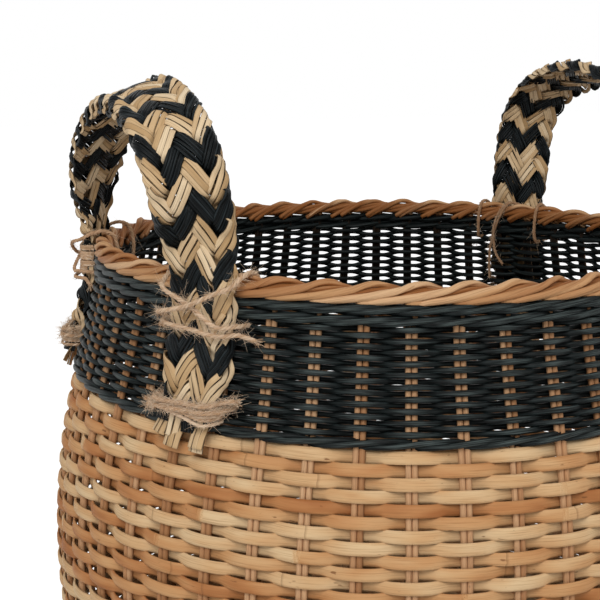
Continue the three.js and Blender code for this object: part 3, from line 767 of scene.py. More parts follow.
def smooth_path(points, count):
    """Centripetal Catmull-Rom curve through the points, sampled evenly by length.

    Each span is a cubic whose end slopes come from the neighbours, weighted by the square root of
    the spacing. The ends are extended straight.
    """
    points = np.asarray(points, float)
    padded = np.vstack([2 * points[0] - points[1], points, 2 * points[-1] - points[-2]])
    gap = np.maximum(np.linalg.norm(np.diff(padded, axis=0), axis=1) ** 0.5, 1e-4)[:, None]
    a, b, c, d = padded[:-3], padded[1:-2], padded[2:-1], padded[3:]
    g0, g1, g2 = gap[:-2], gap[1:-1], gap[2:]
    s1 = ((b - a) / g0 - (c - a) / (g0 + g1) + (c - b) / g1) * g1
    s2 = ((c - b) / g1 - (d - b) / (g1 + g2) + (d - c) / g2) * g1
    t = np.linspace(0, 1, 24, endpoint=False)[None, :, None]
    b, c, s1, s2 = (v[:, None, :] for v in (b, c, s1, s2))
    curve = b + s1 * t + (-3 * b + 3 * c - 2 * s1 - s2) * t**2 + (2 * b - 2 * c + s1 + s2) * t**3
    curve = np.vstack([curve.reshape(-1, points.shape[1]), points[-1:]])
    run = run_along(curve)
    even = np.linspace(0, run[-1], count)
    return np.stack([np.interp(even, run, curve[:, i]) for i in range(points.shape[1])], axis=-1)

# %% Rim
RIM_TRAVEL = np.array([0.03, -0.06, 0.03, 0.35, 0.9, 1.35, 1.75, 2.05, 2.3, 2.6, 3.0, 3.35])
RIM_TURN = np.array([-94.0, -72.0, -58.0, -48.0, -24.0, 6.0, 38.0, 72.0, 104.0, 144.0, 200.0, 236.0])
RIM_REACH = np.array([3.0, 4.9, 5.2, 4.8, 4.2, 3.8, 4.0, 5.2, 5.2, 4.2, 4.8, 8.0])
# Travel in stakes and turn in degrees are brought near the reach's size before smoothing
TRAVEL_SCALE = 24
TURN_SCALE = 5
RIM_CORE_RADIUS = 1.86
PAIR_TURN = 15.0
CREST_THINNING = 0.28
CREST_PLACE = 2.2
CREST_SPREAD = 0.38
HEART_CORES = 5
HEART_TURNS = 16
HEART_CORE_RADIUS = 1.7
HEART_REACH = 2.2
HEART_HEIGHT = RIM_HEIGHT - 0.3


def about_rim(angle, around, reach, middle, flatness=1.0):
    """Places at a reach from the rim's middle line, and the directions from it to them.

    A place is the middle plus reach times (cos around outward, sin around times flatness upward).
    """
    paths = polar(RIM_RADIUS + reach * np.cos(around), angle, middle + reach * np.sin(around) * flatness)
    return paths, polar(np.cos(around), angle, np.sin(around))


def make_rim():
    """Two cores to each stake. A core's point is the rim's middle line + reach times (cos turn
    outward, sin turn upward). On the outside a pair lies close together and looks like one thick
    core; over the crest the two part and lie side by side, so there they differ in travel."""
    steps = 48
    travel = smooth_path(np.stack([RIM_TRAVEL * TRAVEL_SCALE, RIM_TURN / TURN_SCALE, RIM_REACH], -1), steps)
    step_travel, turn, reach = travel[:, 0] / TRAVEL_SCALE, travel[:, 1] * TURN_SCALE, travel[:, 2]
    count = STAKES * 2
    stake = np.repeat(np.arange(STAKES), 2)[:, None]
    second = np.tile([-0.5, 0.5], STAKES)[:, None]
    crest = np.exp(-(((step_travel - CREST_PLACE) / CREST_SPREAD) ** 2))[None, :]
    begin = smoothstep(step_travel, 0.0, 0.4)[None, :]
    spread = second * (PAIR_TURN + RNG.uniform(-4, 4, (count, 1))) * begin
    lead = -second * (0.13 - 0.09 * begin + 0.1 * crest)
    length = 1 + RNG.uniform(-0.05, 0.06, (count, 1)) * np.linspace(0, 1, steps)[None, :]
    around = np.radians(turn[None, :] - spread + wander(count, steps, knots=5, size=4.0))
    out = reach[None, :] + wander(count, steps, knots=5, size=0.3)
    out = out + RNG.uniform(-0.15, 0.35, (count, 1)) * crest
    angle = FIRST_STAKE + (stake + step_travel[None, :] * length + lead) * STAKE_STEP
    paths, up = about_rim(angle, around, out, RIM_HEIGHT, RIM_ROPE_HEIGHT / RIM_ROPE_WIDTH)
    sides, outs = frames(paths, up)
    thick = RIM_CORE_RADIUS - CREST_THINNING * smoothstep(step_travel, 1.2, 2.0)
    thick = (thick * (1 + wander(count, steps, knots=4, size=0.06)) * (0.9 + 0.1 * begin))[..., None]
    shade = RNG.uniform(0.05, 0.95, (STAKES, 1, 1)).repeat(2, axis=0)
    shade = shade + RNG.uniform(-0.15, 0.15, (count, 1, 1))
    profile = round_profile(10)
    # The mask is painted shade: in the grooves between cores and on the border's inner side
    groove = np.clip(0.5 - 1.2 * profile[:, 1], 0, 1)
    inner = np.maximum(smoothstep(np.degrees(around), 80, 150)[..., None], groove)
    tone = tone_of(shade, RNG.uniform(0, 1, (count, 1, 1)), inner, (count, steps, 10))
    return strand_piece("rim_cores", paths, sides * thick, outs * thick, profile, tone)


def make_rim_heart():
    """The lengths hidden inside the border: five cores twisted slowly about a line just below
    its middle, each at HEART_REACH from that line."""
    steps = STAKES * 10
    turn = np.arange(steps)[None, :] / steps * 2 * math.pi
    about = HEART_TURNS * turn + np.arange(HEART_CORES)[:, None] * 2 * math.pi / HEART_CORES
    paths, up = about_rim(turn, about, HEART_REACH, HEART_HEIGHT)
    sides, outs = (v * HEART_CORE_RADIUS for v in frames(paths, up, closed=True))
    # Mask 1 all along: the hidden heart takes the rim's painted-shade colour
    tone = tone_of(0.3, 0.5, 1.0, (HEART_CORES, steps, 1))
    return strand_piece("rim_heart", paths, sides, outs, round_profile(8), tone, True)


finish_piece(make_rim(), rim_cane, "rim_cane", "rim_border")
finish_piece(make_rim_heart(), rim_cane, "rim_cane")

# %% [markdown]
# ## The base
#
# Two bundles of sticks cross at the middle and fan out into spokes; rounds of core are woven over
# and under them. The base is domed a little, so the basket stands on its foot. A disc
# with a bump map would look right from above, but not from below, where the rounds stand out from
# the spokes. So they are rings that wave over and under, with few points to a wave.

# %% Base
BASE_REACH = float(wall_radius(FOOT_HEIGHT)) - BODY_HALF_WALL - SEAT_GAP
BASE_MIDDLE = 7.2
BASE_RISE = 6.0
BASE_ROUNDS = 27
CROSS_REACH = 20.0
HOLE_RADIUS = 21.0
SPOKES = 24
STICKS = 6
STICK_PITCH = 4.4
STICK_LIFT = 2.35
STICK_HALF_WIDTH = 2.15
STICK_HALF_HEIGHT = 2.25
ROUND_REACH = 1.75
ROUND_STIFFNESS = 1.3
ROUND_HALF_WIDTH = 2.5
SPOKE_RADIUS = 1.4


def base_height(radius):
    """Middle of the base at a radius: a shallow dome, highest at the centre."""
    return BASE_MIDDLE + BASE_RISE * (1 - (radius / BASE_RADIUS) ** 2)


def make_base_rounds():
    """Rings about the centre that wave over and under 24 spokes, each ring against its neighbours."""
    per_spoke = 6
    steps = SPOKES * per_spoke
    ring = np.arange(BASE_ROUNDS)[:, None]
    radius = BASE_REACH + (HOLE_RADIUS - BASE_REACH) * (ring + 0.5) / BASE_ROUNDS
    place = np.arange(steps)[None, :] / per_spoke
    swing = np.cos(math.pi * (place + ring))
    angle = FIRST_STAKE + place / SPOKES * 2 * math.pi
    lift = ROUND_REACH * np.tanh(ROUND_STIFFNESS * swing) / math.tanh(ROUND_STIFFNESS)
    height = base_height(radius) + lift
    paths = polar(radius + wander(BASE_ROUNDS, steps, knots=30, size=0.2, closed=True), angle, height)
    sides, outs = frames(paths, UPWARD, closed=True)
    tone = plain_tone(BASE_ROUNDS, steps, 0.2, 0.9)
    return strand_piece("base_rounds", paths, sides * ROUND_HALF_WIDTH, outs * SPOKE_RADIUS,
                        round_profile(8), tone, True)


def make_base_spokes():
    """Pairs of spokes from the cross to the foot, each following the dome."""
    count, steps = 2 * SPOKES, 20
    radius = np.linspace(CROSS_REACH - 4, BASE_REACH, steps)[None, :]
    side = np.tile([-1.0, 1.0], SPOKES)[:, None]
    spoke = np.repeat(np.arange(SPOKES), 2)[:, None]
    angle = FIRST_STAKE + spoke / SPOKES * 2 * math.pi + side * 1.5 / radius
    paths = polar(radius, angle, base_height(radius))
    sides, outs = frames(paths, UPWARD)
    tone = plain_tone(count, steps, 0.2, 0.8)
    return strand_piece("base_spokes", paths, sides * SPOKE_RADIUS, outs * SPOKE_RADIUS,
                        round_profile(6), tone)


def make_cross(name, along_y, lift):
    """Sticks side by side, straight across the middle."""
    count, steps = STICKS, 8
    across = ((np.arange(count) - (count - 1) / 2) * STICK_PITCH)[:, None]
    run = np.sqrt(CROSS_REACH**2 - across**2) * np.linspace(-1, 1, steps)[None, :]
    height = base_height(0) + lift + 0 * run
    across = across + 0 * run
    paths = np.stack([across, run, height] if along_y else [run, across, height], -1)
    sides, outs = frames(paths, UPWARD)
    tone = plain_tone(count, steps, 0.2, 0.8)
    return strand_piece(name, paths, sides * STICK_HALF_WIDTH, outs * STICK_HALF_HEIGHT,
                        round_profile(8), tone)


finish_piece(make_base_rounds(), rattan_stake, "rattan", "base_weave")
finish_piece(make_base_spokes(), rattan_stake, "rattan")
finish_piece(make_cross("cross_sticks_low", True, -STICK_LIFT), rattan_stake, "rattan", "base_sticks_lower")
finish_piece(make_cross("cross_sticks_high", False, STICK_LIFT), rattan_stake, "rattan", "base_sticks_upper")

# %% [markdown]
# ## The line of a handle
#
# Each handle is one flat braid: up one leg, over the arch, down the other leg. The line is a smooth
# curve through points on the wall and points of the arch, which leans as the hand-tied one does.
# The strap lies face out on the wall and turns face up at the top, so each place on the line also
# has a direction across the strap and one out of its face. A curve object could carry the strap,
# but its tilt is set point by point; here the turn is one smooth function of the height.

# %% Handle line
LEG_SPREAD = math.radians(30)
ARCH_TWIST = math.radians(72)
BRAID_THICKNESS = 11.0
TAIL_DROP = 86.0
RIM_TIE_DROP = 20.0
BAND_TIE_DROP = 61.0
ARCH_POINTS = [
    (14, 1.005, 20), (8, 1.076, 42), (3, 1.086, 65), (1, 0.923, 85), (2.5, 0.589, 96.5),
    (5, 0.203, 98.5), (6.5, -0.162, 90), (7, -0.487, 71), (9, -0.741, 47), (14, -0.934, 20),
]
WIDTH_AT = [-86, -67, -55, -40.5, -14, 8, 40]
WIDTHS = [45, 39, 39, 48, 42, 42, 46]


def leg_radius(height):
    """Distance from the basket's middle line to the middle of a leg that lies on the wall."""
    on_wall = wall_radius(height) + BAND_HALF_WALL
    rim_side = RIM_RADIUS + RIM_ROPE_WIDTH / 2
    lift = smoothstep(height, UPPER_WALE_BOTTOM - 12, UPPER_WALE_TOP - 4)
    return on_wall + (np.maximum(rim_side, on_wall) - on_wall) * lift + SEAT_GAP + BRAID_THICKNESS / 2


def handle_line(rise, count=700):
    """Even points along the strap, with its across and face directions and its length so far.

    rise stretches the arch upwards: the two handles weren't tied quite alike.
    """
    height = RIM_HEIGHT - np.linspace(TAIL_DROP, 2.0, 6)
    radius = leg_radius(height)
    front = np.stack([radius * math.cos(LEG_SPREAD), radius * math.sin(LEG_SPREAD), height], -1)
    back = (front * [1, -1, 1])[::-1]
    half_span = float(leg_radius(RIM_HEIGHT)) * math.sin(LEG_SPREAD)
    arch = np.array([(RIM_RADIUS - i, s * half_span, RIM_HEIGHT + a * rise) for i, s, a in ARCH_POINTS])
    line = smooth_path(np.vstack([front, arch, back]), count)
    travel = unit(np.gradient(line, axis=0))
    in_plane = unit(np.stack([0 * travel[:, 0], -travel[:, 2], travel[:, 1]], -1))
    turn = smoothstep(line[:, 2] - RIM_HEIGHT, -4, np.where(line[:, 1] > 0, 46, 80))
    angle = (LEG_SPREAD + (ARCH_TWIST - LEG_SPREAD) * turn)[:, None]
    face = np.cos(angle) * [1.0, 0, 0] - np.sin(angle) * in_plane
    face = square_to(travel, face)
    across = np.cross(travel, face)
    run = run_along(line)
    return {"line": line, "across": across, "face": face, "run": run, "length": float(run[-1])}


HANDLES = {"left": handle_line(1.0), "right": handle_line(1.08)}
for side_name, strap in HANDLES.items():
    print(f"{side_name} handle strap {strap['length']:.0f} mm long")


def on_line(strap, key, run):
    """Reads the strap's line, across or face vectors at lengths along it."""
    return np.stack([np.interp(run, strap["run"], strap[key][:, i]) for i in range(3)], axis=-1)

# %% [markdown]
# ## The braid
#
# Nine strands, five natural and four black, each going over two and under two. A strand crosses
# the strap on a slant, folds over the edge and comes back, so across the strap it follows a
# triangle wave. It is in front or behind by the sign of a sine with four waves to one full trip,
# and that alone makes the four columns of V shapes. Each natural strand is a few flat blades laid
# together and each black one a bundle of finer ones.

# %% Braid
STRANDS = 9
ARCH_TRIP = 112.0
LEG_TRIP = 146.0
BRAID_STIFFNESS = 3.0
BRAID_LIFT = 2.7
NATURAL = [0, 2, 4, 6, 8]
BLACK = [1, 3, 5, 7]
NATURAL_BLADES = [-3.15, 0.0, 3.15]
BLACK_BLADES = [-4.0, -2.4, -0.8, 0.8, 2.4, 4.0]
BLADE_CROWN = 0.05
FOLD_TILT = 2.6
FOLD_SHARE = 0.03
EDGE_INSET = 1.2


def trips_made(strap, run):
    """Trips made so far at lengths along the strap, and trips to a millimetre there.

    A trip is longer on the legs, where the strands are pulled steeper, than over the arch.
    """
    grid = np.linspace(0, strap["length"], 400)
    on_arch = smoothstep(np.minimum(grid, grid[::-1]), 110, 230)
    per_mm = 1 / (LEG_TRIP + (ARCH_TRIP - LEG_TRIP) * on_arch)
    made = np.concatenate([[0], np.cumsum(np.diff(grid) * per_mm[1:])])
    return np.interp(run, grid, made), np.interp(run, grid, per_mm)


def braid_centres(strap, which, steps, cut):
    """Middle line of each strand before it goes over or under, with its directions.

    With q the share of a trip, across = half width times triangle(q). The strand's face turns over
    at each edge, where it folds. The skew says how much later, in trips, a blade one millimetre to
    the side meets the crossing strand's edge: the two cross at twice the strand's own angle.
    """
    which = np.asarray(which, float)[:, None]
    count = len(which)
    first = RNG.uniform(*cut, (count, 1))
    length = strap["length"]
    last = length - RNG.uniform(*cut, (count, 1))
    run = first + (last - first) * np.linspace(0, 1, steps)[None, :]
    low = TAIL_DROP - BAND_TIE_DROP - 2.0
    inside = np.clip(run, low, length - low)
    beyond = np.abs(run - inside)
    trips, per_mm = trips_made(strap, inside)
    trip = (trips + which / STRANDS) % 1.0
    wave = np.where(trip < 0.5, 4 * trip - 1, 3 - 4 * trip)
    wave = wave * (1 - 0.06 * np.abs(wave) ** 6)
    line, across, face = (on_line(strap, key, run) for key in ("line", "across", "face"))
    half = np.interp(line[..., 2] - RIM_HEIGHT, WIDTH_AT, WIDTHS) / 2
    splay = wave * (half - EDGE_INSET) * (1 + 0.006 * beyond)
    splay = splay + beyond * RNG.uniform(-0.25, 0.25, (count, 1))
    centre = line + across * splay[..., None]
    near_right = np.exp(-((np.abs(trip - 0.5) / FOLD_SHARE) ** 2))
    near_left = np.exp(-((np.minimum(trip, 1 - trip) / FOLD_SHARE) ** 2))
    outward = face + across * (FOLD_TILT * (near_right - near_left))[..., None]
    slope = 4 * half * per_mm
    skew = (1 - slope**2) / (2 * slope * np.sqrt(1 + slope**2)) * per_mm
    skew = np.where(trip < 0.5, skew, -skew) * (1 - wave**6)
    return centre, face, outward, trip, skew, beyond, wave

# %% Blades of the braid


def make_braid(name, strap, which, offsets, blade_half, blade_thick, steps, profile, turned,
               shade_range, cut):
    """Blades of the chosen strands: each runs beside its strand's middle line, lower at the sides.

    A blade is in front or behind by -tanh(stiffness times sin(8 pi q)), with q its own share of a
    trip, so all the blades of a strand dive along the edge of the strand that crosses them.
    """
    blades = len(offsets)
    count = len(which) * blades
    loose = braid_centres(strap, which, steps, cut)
    centre, face, outward, trip, skew, beyond, wave = (np.repeat(v, blades, axis=0) for v in loose)
    offset = np.tile(offsets, len(which))[:, None] + wander(count, steps, knots=40, size=0.3)
    offset = offset * (1 + wander(len(which), steps, knots=9, size=0.14).repeat(blades, axis=0))
    offset = offset * (1 + 0.01 * beyond)
    own_trip = trip - skew * offset
    stiff = BRAID_STIFFNESS * (1 - 0.6 * wave**8)
    front = -np.tanh(stiff * np.sin(8 * math.pi * own_trip)) / np.tanh(stiff)
    droop = RNG.uniform(-0.05, 0.15, (len(which), 1)).repeat(blades, axis=0)
    lift = BRAID_LIFT * (1 - 0.5 * wave**6) * front * np.clip(1 - beyond / 14, 0, 1) + beyond * droop
    centre = centre + face * lift[..., None]
    side = unit(np.cross(outward, along(centre)))
    outward = np.cross(along(centre), side)
    height = -BLADE_CROWN * offset**2 + wander(count, steps, knots=40, size=0.25)
    paths = centre + side * offset[..., None] + outward * height[..., None]
    tilt = (2 * BLADE_CROWN * offset + wander(count, steps, knots=30, size=0.12))[..., None]
    across = side * np.cos(tilt) - outward * np.sin(tilt)
    up = outward * np.cos(tilt) + side * np.sin(tilt)
    travel = along(paths)
    across = square_to(travel, across)
    up = np.cross(travel, across)
    up = up * np.sign((up * outward).sum(-1, keepdims=True))
    if turned:
        paths, across, up = (v * HALF_TURN for v in (paths, across, up))
    width = (blade_half * (1 + wander(count, steps, knots=12, size=0.16)))[..., None]
    low, high = shade_range
    shade = RNG.uniform(low, high, (count, 1, 1)) + wander(count, steps, knots=10, size=0.08)[..., None]
    # The edge mask paints the blades' edges darker: painted shade in the gaps between them
    edge = np.abs(profile[None, None, :, 0]) ** 6
    tone = tone_of(shade, RNG.uniform(0, 1, (count, 1, 1)), edge, (count, steps, len(profile)))
    return strand_piece(name, paths, across * width, up * blade_thick, profile, tone)

# %% Both handles


def make_handle(side_name, turned):
    """Both colours of one handle. The natural part stands for the CAD strap."""
    strap = HANDLES[side_name]
    natural = make_braid(f"braid_natural_{side_name}", strap, NATURAL, NATURAL_BLADES, blade_half=1.66,
                         blade_thick=0.38, steps=400, profile=strip_profile(8, 0.3), turned=turned,
                         shade_range=(0.2, 0.95), cut=(1, 9))
    finish_piece(natural, seagrass, "seagrass", f"handle_{side_name}")
    black = make_braid(f"braid_black_{side_name}", strap, BLACK, BLACK_BLADES, blade_half=0.95,
                       blade_thick=0.5, steps=360, profile=round_profile(6), turned=turned,
                       shade_range=(0.1, 0.9), cut=(9, 17))
    finish_piece(black, black_seagrass, "seagrass")


make_handle("right", False)
make_handle("left", True)

# %% [markdown]
# ## The lashings
#
# Jute twine holds each leg twice. At the rim it runs across the leg, through the weave, over the
# rim and back in two diagonals, which makes an X. Low on the band it is wound round the leg. The
# routes are those of the CAD ties. A twine is three plies twisted together, with loose fibres
# standing off it. Hair could give the fuzz, but it isn't a mesh; thin short strands made by the same
# function as everything else are, and they move with the rest.

# %% Twine routes
TWINE_RADIUS = 1.25
TIE_GAP = 0.5
TIE_SLACK = 0.7
TIE_TAIL = 9.0
TAIL_SAG = 3.0
TIE_BEND = 5.5
TWINE_LAP = 2 * TWINE_RADIUS + TIE_GAP + TIE_SLACK / 2
TIE_FACE = BRAID_THICKNESS / 2 + TIE_GAP + TWINE_RADIUS + TIE_SLACK
BAND_TIE_TURNS = 1
RIM_TIE_WIDTH = 42
BAND_TIE_WIDTH = 39
LINING_GAP = 2.5


def tie_edge(strap_width):
    """Distance from the middle of the strap to twine that passes its edge."""
    return strap_width / 2 + TIE_GAP + TWINE_RADIUS + TIE_SLACK


def tie_points(angle, route, middles):
    """Turns [along the wall, out of the leg's middle, height above the rim] into places."""
    route = np.asarray(route, float)
    radius = middles + route[:, 1]
    x = radius * math.cos(angle) - route[:, 0] * math.sin(angle)
    y = radius * math.sin(angle) + route[:, 0] * math.cos(angle)
    return np.stack([x, y, RIM_HEIGHT + route[:, 2]], axis=-1)

# %% Route over the rim


def rim_tie_route(angle):
    """Across the leg, in, up, over the rim, down across, and the same again on the other side."""
    edge = tie_edge(RIM_TIE_WIDTH)
    in_slot = edge + TIE_SLACK
    centre = float(leg_radius(RIM_HEIGHT - RIM_TIE_DROP))
    rope_middle = math.sqrt(RIM_RADIUS**2 - in_slot**2) - centre
    inside = rope_middle - RIM_ROPE_WIDTH / 2 - TIE_GAP - TWINE_RADIUS - TIE_SLACK
    over_rim = RIM_ROPE_HEIGHT / 2 + TIE_GAP + TWINE_RADIUS + TIE_SLACK
    behind = -BRAID_THICKNESS / 2 - TWINE_RADIUS
    twine = 2 * TWINE_RADIUS
    low = -RIM_TIE_DROP
    start = low - TWINE_LAP

    def pass_edge(side, level, lift):
        return [
            [side * (edge - TIE_BEND), TIE_FACE + lift, level + lift],
            [side * (edge + TIE_GAP), TWINE_RADIUS, level + lift],
            [side * in_slot, behind, level],
            [side * in_slot, inside + twine, level],
            [side * edge, inside, level + TIE_BEND],
            [side * edge, inside, -twine],
            [side * edge, inside + twine, over_rim - twine],
            [side * edge, rope_middle, over_rim],
            [side * edge, rope_middle + RIM_ROPE_WIDTH * 0.6, over_rim - TWINE_RADIUS + lift / 2],
            [side * (edge - TIE_SLACK), twine + lift, TWINE_RADIUS + lift],
            [side * (edge - TIE_BEND), TIE_FACE + TIE_SLACK + lift, lift - TWINE_RADIUS],
        ]

    route = [
        [edge + TIE_TAIL, behind + TWINE_RADIUS, start - TAIL_SAG],
        [edge + TWINE_RADIUS, 0, start],
        [edge - TIE_BEND, TIE_FACE, start],
        [0, TIE_FACE + TIE_SLACK / 2, (start + low) / 2],
        *pass_edge(-1, low, 0),
        [0, TIE_FACE + TIE_GAP, (low + TWINE_RADIUS) / 2],
        *pass_edge(1, low + TIE_SLACK, TIE_SLACK),
        [0, TIE_FACE + TWINE_LAP + TIE_SLACK, (low + twine) / 2],
        [TIE_BEND - edge, TIE_FACE + TWINE_LAP + TIE_SLACK, low + 2 * TWINE_LAP],
        [-edge - TIE_GAP, TIE_FACE - twine, low + TWINE_LAP + TWINE_RADIUS],
        [-edge - TIE_BEND, 0, low + TWINE_LAP],
    ]
    return tie_points(angle, route, centre)

# %% Route round the band


def band_tie_route(angle):
    """Turns one above the other round the leg, through the weave on each side."""
    edge = tie_edge(BAND_TIE_WIDTH)
    in_slot = edge + TIE_SLACK
    wall_inside = -BRAID_THICKNESS / 2 - SEAT_GAP - 2 * BAND_HALF_WALL
    inside = wall_inside - TIE_GAP - TWINE_RADIUS - LINING_GAP
    twine = 2 * TWINE_RADIUS
    turn_low = -BAND_TIE_DROP - TWINE_LAP * BAND_TIE_TURNS / 2
    route = [
        [-edge - TIE_TAIL + twine, -TWINE_RADIUS, turn_low - TAIL_SAG],
        [-edge - TIE_SLACK, TWINE_RADIUS, turn_low - TWINE_RADIUS],
    ]
    for turn in range(BAND_TIE_TURNS + 1):
        low = turn_low + TWINE_LAP * turn
        route += [
            [TIE_BEND - edge, TIE_FACE, low],
            [0, TIE_FACE + TIE_SLACK / 2, low + TWINE_LAP * 0.1],
            [edge - TIE_BEND, TIE_FACE, low + TWINE_LAP * 0.2],
        ]
        if turn == BAND_TIE_TURNS:
            break
        route += [
            [in_slot, TWINE_RADIUS, low + TWINE_LAP * 0.3],
            [in_slot, inside + LINING_GAP, low + TWINE_LAP * 0.4],
            [edge - twine, inside, low + TWINE_LAP * 0.45],
            [0, inside - TIE_SLACK, low + TWINE_LAP * 0.55],
            [twine - edge, inside, low + TWINE_LAP * 0.65],
            [-in_slot, inside + LINING_GAP, low + TWINE_LAP * 0.7],
            [-in_slot, TWINE_RADIUS, low + TWINE_LAP * 0.8],
        ]
    high = turn_low + TWINE_LAP * BAND_TIE_TURNS
    route += [
        [edge + TIE_SLACK, TWINE_RADIUS, high + TWINE_LAP * 0.6],
        [edge + TIE_TAIL - twine, -TWINE_RADIUS, high + TWINE_LAP],
    ]
    route = np.asarray(route, float)
    return tie_points(angle, route, leg_radius(RIM_HEIGHT + route[:, 2]))

# %% Twine
PLIES = 3
PLY_REACH = 0.52
PLY_RADIUS = 0.56
TWINE_LAY = 8.0
YARN_LAY = 6.0
YARN_RADIUS = 0.85
HANGING_RADIUS = 0.95
# A direction that no line here starts along
ODD_WAY = [0.31, 0.27, 0.91]


def carried_frames(paths):
    """Directions square to each path that turn with it and never twist about it.

    The first is any square one; each next one is the last made square to the new direction.
    """
    travel = along(paths)
    seed = np.cross(travel[:, 0], ODD_WAY)
    outs = np.empty_like(paths)
    outs[:, 0] = unit(seed)
    for step in range(1, paths.shape[1]):
        outs[:, step] = square_to(travel[:, step], outs[:, step - 1])
    return np.cross(travel, outs), outs


def make_twine(name, lines, radius, lay, turned, node=None, tone_range=(0.2, 0.9)):
    """Three plies about each line: each ply runs round the line once in a lay length."""
    lines = np.asarray(lines)
    if turned:
        lines = lines * HALF_TURN
    sides, outs = carried_frames(lines)
    run = run_along(lines)
    count = len(lines) * PLIES
    steps = lines.shape[1]
    lines, sides, outs, run = (np.repeat(v, PLIES, axis=0) for v in (lines, sides, outs, run))
    ply = np.tile(np.arange(PLIES), count // PLIES)[:, None]
    turn = run / lay * 2 * math.pi + ply * 2 * math.pi / PLIES
    reach = radius * PLY_REACH * (1 + wander(count, steps, knots=30, size=0.15))
    paths = lines + sides * (reach * np.cos(turn))[..., None] + outs * (reach * np.sin(turn))[..., None]
    ply_sides, ply_outs = carried_frames(paths)
    thick = (radius * PLY_RADIUS * (1 + wander(count, steps, knots=40, size=0.12)))[..., None]
    tone = plain_tone(count, steps, *tone_range)
    made = strand_piece(name, paths, ply_sides * thick, ply_outs * thick, round_profile(6), tone)
    finish_piece(made, jute, "jute", *([node] if node else []))
    return lines[::PLIES]

# %% Loose fibre


def make_fuzz(name, lines, count, length, radius, spread, follow):
    """Loose fibres: each starts beside a line, leaves it with a share of the line's own direction
    (follow) and a random one, and curls off with the square of its length."""
    lines = np.asarray(lines)
    which = RNG.integers(0, len(lines), count)
    place = RNG.integers(0, lines.shape[1], count)
    travel = along(lines)[which, place] * RNG.choice([-1.0, 1.0], (count, 1))
    steps = 5
    share = np.linspace(0, 1, steps)[None, :, None]
    reach = length * RNG.uniform(0.25, 1.0, (count, 1, 1))
    lean = unit(RNG.normal(0, 1, (count, 1, 3)) + follow * travel[:, None, :])
    curl = unit(RNG.normal(0, 1, (count, 1, 3)))
    paths = lines[which, place][:, None, :] + RNG.normal(0, spread, (count, 1, 3)) + lean * reach * share
    paths = paths + curl * reach * 0.5 * share**2
    sides, outs = carried_frames(paths)
    thick = radius * (1.1 - 0.7 * share)
    tone = plain_tone(count, steps, 0.6, 1.2)
    made = strand_piece(name, paths, sides * thick, outs * thick, round_profile(4), tone)
    finish_piece(made, jute, "jute")


def make_frayed_ends(lines, fibres, length, fan, radius):
    """Fibres that carry on past both ends of each line and fan out from it."""
    lines = np.asarray(lines)
    tips = np.concatenate([lines[:, 0], lines[:, -1]])
    ways = np.concatenate([lines[:, 0] - lines[:, 3], lines[:, -1] - lines[:, -4]])
    tips, ways = (np.repeat(v, fibres, axis=0)[:, None, :] for v in (tips, unit(ways)))
    count, steps = len(tips), 6
    share = np.linspace(0, 1, steps)[None, :, None]
    reach = length * RNG.uniform(0.5, 1.0, (count, 1, 1))
    lean = unit(ways + RNG.normal(0, fan, (count, 1, 3)))
    droop = RNG.normal(0, 0.25, (count, 1, 3)) - [0, 0, 0.15]
    paths = tips - ways * 2 + lean * reach * share + droop * reach * share**2
    sides, outs = carried_frames(paths)
    tone = tone_of(RNG.uniform(0.3, 1.0, (count, 1, 1)), 0.5, 0.0, (count, steps, 1))
    made = strand_piece("frayed_ends", paths, sides * radius, outs * radius, round_profile(4), tone)
    finish_piece(made, jute, "jute")

# %% The eight ties
LEGS = {
    "right_back": (LEG_SPREAD, False), "right_front": (-LEG_SPREAD, False),
    "left_front": (LEG_SPREAD, True), "left_back": (-LEG_SPREAD, True),
}
# The twine of the right handle lies on the inside of the rim and gets darker tones than the left one's:
# painted shade
RIGHT_TWINE_SHADED_TONES = (0.0, 0.2)
rim_lines, band_lines = {}, {}
for leg, (leg_angle, turned) in LEGS.items():
    rim_line = smooth_path(rim_tie_route(leg_angle), 300)
    band_line = smooth_path(band_tie_route(leg_angle), 300)
    rim_lines[leg] = make_twine(f"rim_twine_{leg}", [rim_line], TWINE_RADIUS, TWINE_LAY, turned,
                                f"rim_tie_{leg}", (0.2, 0.9) if turned else RIGHT_TWINE_SHADED_TONES)[0]
    band_lines[leg] = make_twine(f"band_twine_{leg}", [band_line], TWINE_RADIUS, TWINE_LAY, turned,
                                 f"band_tie_{leg}")[0]

# %% [markdown]
# ### Thinner yarns
#
# The photograph shows thinner loose yarn beside the main lashings: turns that hold the rear leg
# tight under the rim, turns that fill the low tie, and at the right handle an X over the rim with
# two ends that hang inside. They are the free ends of the same twine, unlaid.

# %% Thin yarns


def leg_turns(angle, low, high, half_width, turns, count=160):
    """A flattened helix round a leg: an ellipse about the leg's middle that climbs as it turns."""
    share = np.linspace(0, 1, count)
    phase = 2 * math.pi * turns * share
    sideways = half_width * np.sign(np.cos(phase)) * np.abs(np.cos(phase)) ** 0.6
    outward = (BRAID_THICKNESS / 2 + 0.6) * np.sign(np.sin(phase)) * np.abs(np.sin(phase)) ** 0.5
    above = low + (high - low) * share + 1.2 * np.sin(phase * 0.37)
    route = np.stack([sideways, outward, above], -1)
    return tie_points(angle, route, leg_radius(RIM_HEIGHT + above))


def face_yarn(angle, level, slant, half_width, count=160):
    """A yarn across the face of a leg, tucked into the weave at both sides."""
    edge = half_width + 1.0
    deep, face = -BRAID_THICKNESS / 2 - 1.0, BRAID_THICKNESS / 2 + 0.9
    route = np.array([
        [-edge, deep, level], [-edge, 0, level], [-edge + 4, face, level],
        [0, face + 0.5, level + slant / 2],
        [edge - 4, face, level + slant], [edge, 0, level + slant], [edge, deep, level + slant],
    ])
    return smooth_path(tie_points(angle, route, leg_radius(RIM_HEIGHT + route[:, 2])), count)


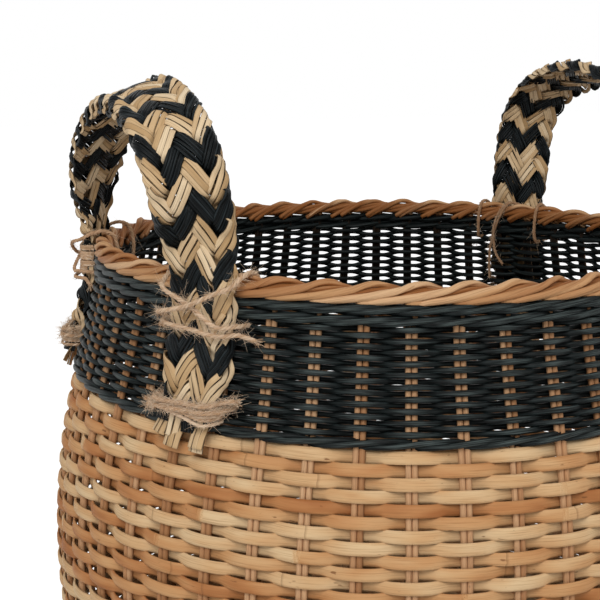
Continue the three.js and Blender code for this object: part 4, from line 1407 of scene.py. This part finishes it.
def rim_yarn(stops, count=160):
    """A yarn through stops given as (degrees about Z, radius, height above the rim's middle)."""
    turn, radius, above = np.asarray(stops, float).T
    return smooth_path(polar(radius, np.radians(turn), RIM_HEIGHT + above), count)


yarns = [leg_turns(-LEG_SPREAD, low, low + 14, half_width=20.0, turns=7) * HALF_TURN
         for low in (-18, -17, -16)]
yarns += [leg_turns(-LEG_SPREAD, low, low + 6, half_width=18.5, turns=4) * HALF_TURN
          for low in (-65, -63)]
for leg, (leg_angle, turned) in LEGS.items():
    for level, slant in ((-59.6, -3.4), (-61.2, -4.8), (-62.6, -6.0), (-60.4, -4.2)):
        yarn = face_yarn(leg_angle, level, slant if turned else -slant, half_width=18.0)
        yarns.append(yarn * HALF_TURN if turned else yarn)
hanging = [
    rim_yarn([(26.8, 197, -6), (27.6, 194, 2), (29.2, 188.5, 6.4), (30.6, 183, 7), (32.2, 178, 1),
              (33.4, 176.5, -10), (33.6, 178, -22), (33.0, 178.5, -32), (31.0, 178, -40)]),
    rim_yarn([(33.6, 197, -6), (32.6, 194, 2), (31.0, 188.5, 6.8), (30.6, 183, 7.4), (31.4, 178.5, 2),
              (32.8, 177.5, -8), (34.4, 179, -24), (34.8, 179.5, -40), (34.6, 180, -52)]),
]
make_twine("thin_yarns", yarns, YARN_RADIUS, YARN_LAY, False, tone_range=(0.4, 1.0))
make_twine("hanging_yarns", hanging, HANGING_RADIUS, YARN_LAY, False, tone_range=RIGHT_TWINE_SHADED_TONES)

front_rim = [rim_lines["left_front"]]
make_fuzz("rim_tie_fuzz", list(rim_lines.values()) + front_rim * 4,
          count=2200, length=9.0, radius=0.085, spread=0.7, follow=2.2)
front_band = [band_lines["left_front"]] * 3 + [band_lines["left_back"]] * 2
make_fuzz("band_tie_fuzz", list(band_lines.values()) + front_band,
          count=4400, length=7.0, radius=0.09, spread=1.3, follow=2.6)
make_fuzz("thin_yarn_fuzz", yarns + hanging, count=3800, length=5.0, radius=0.09, spread=0.8, follow=2.2)
make_frayed_ends(list(rim_lines.values()) + list(band_lines.values()),
                 fibres=22, length=6.0, fan=0.22, radius=0.15)
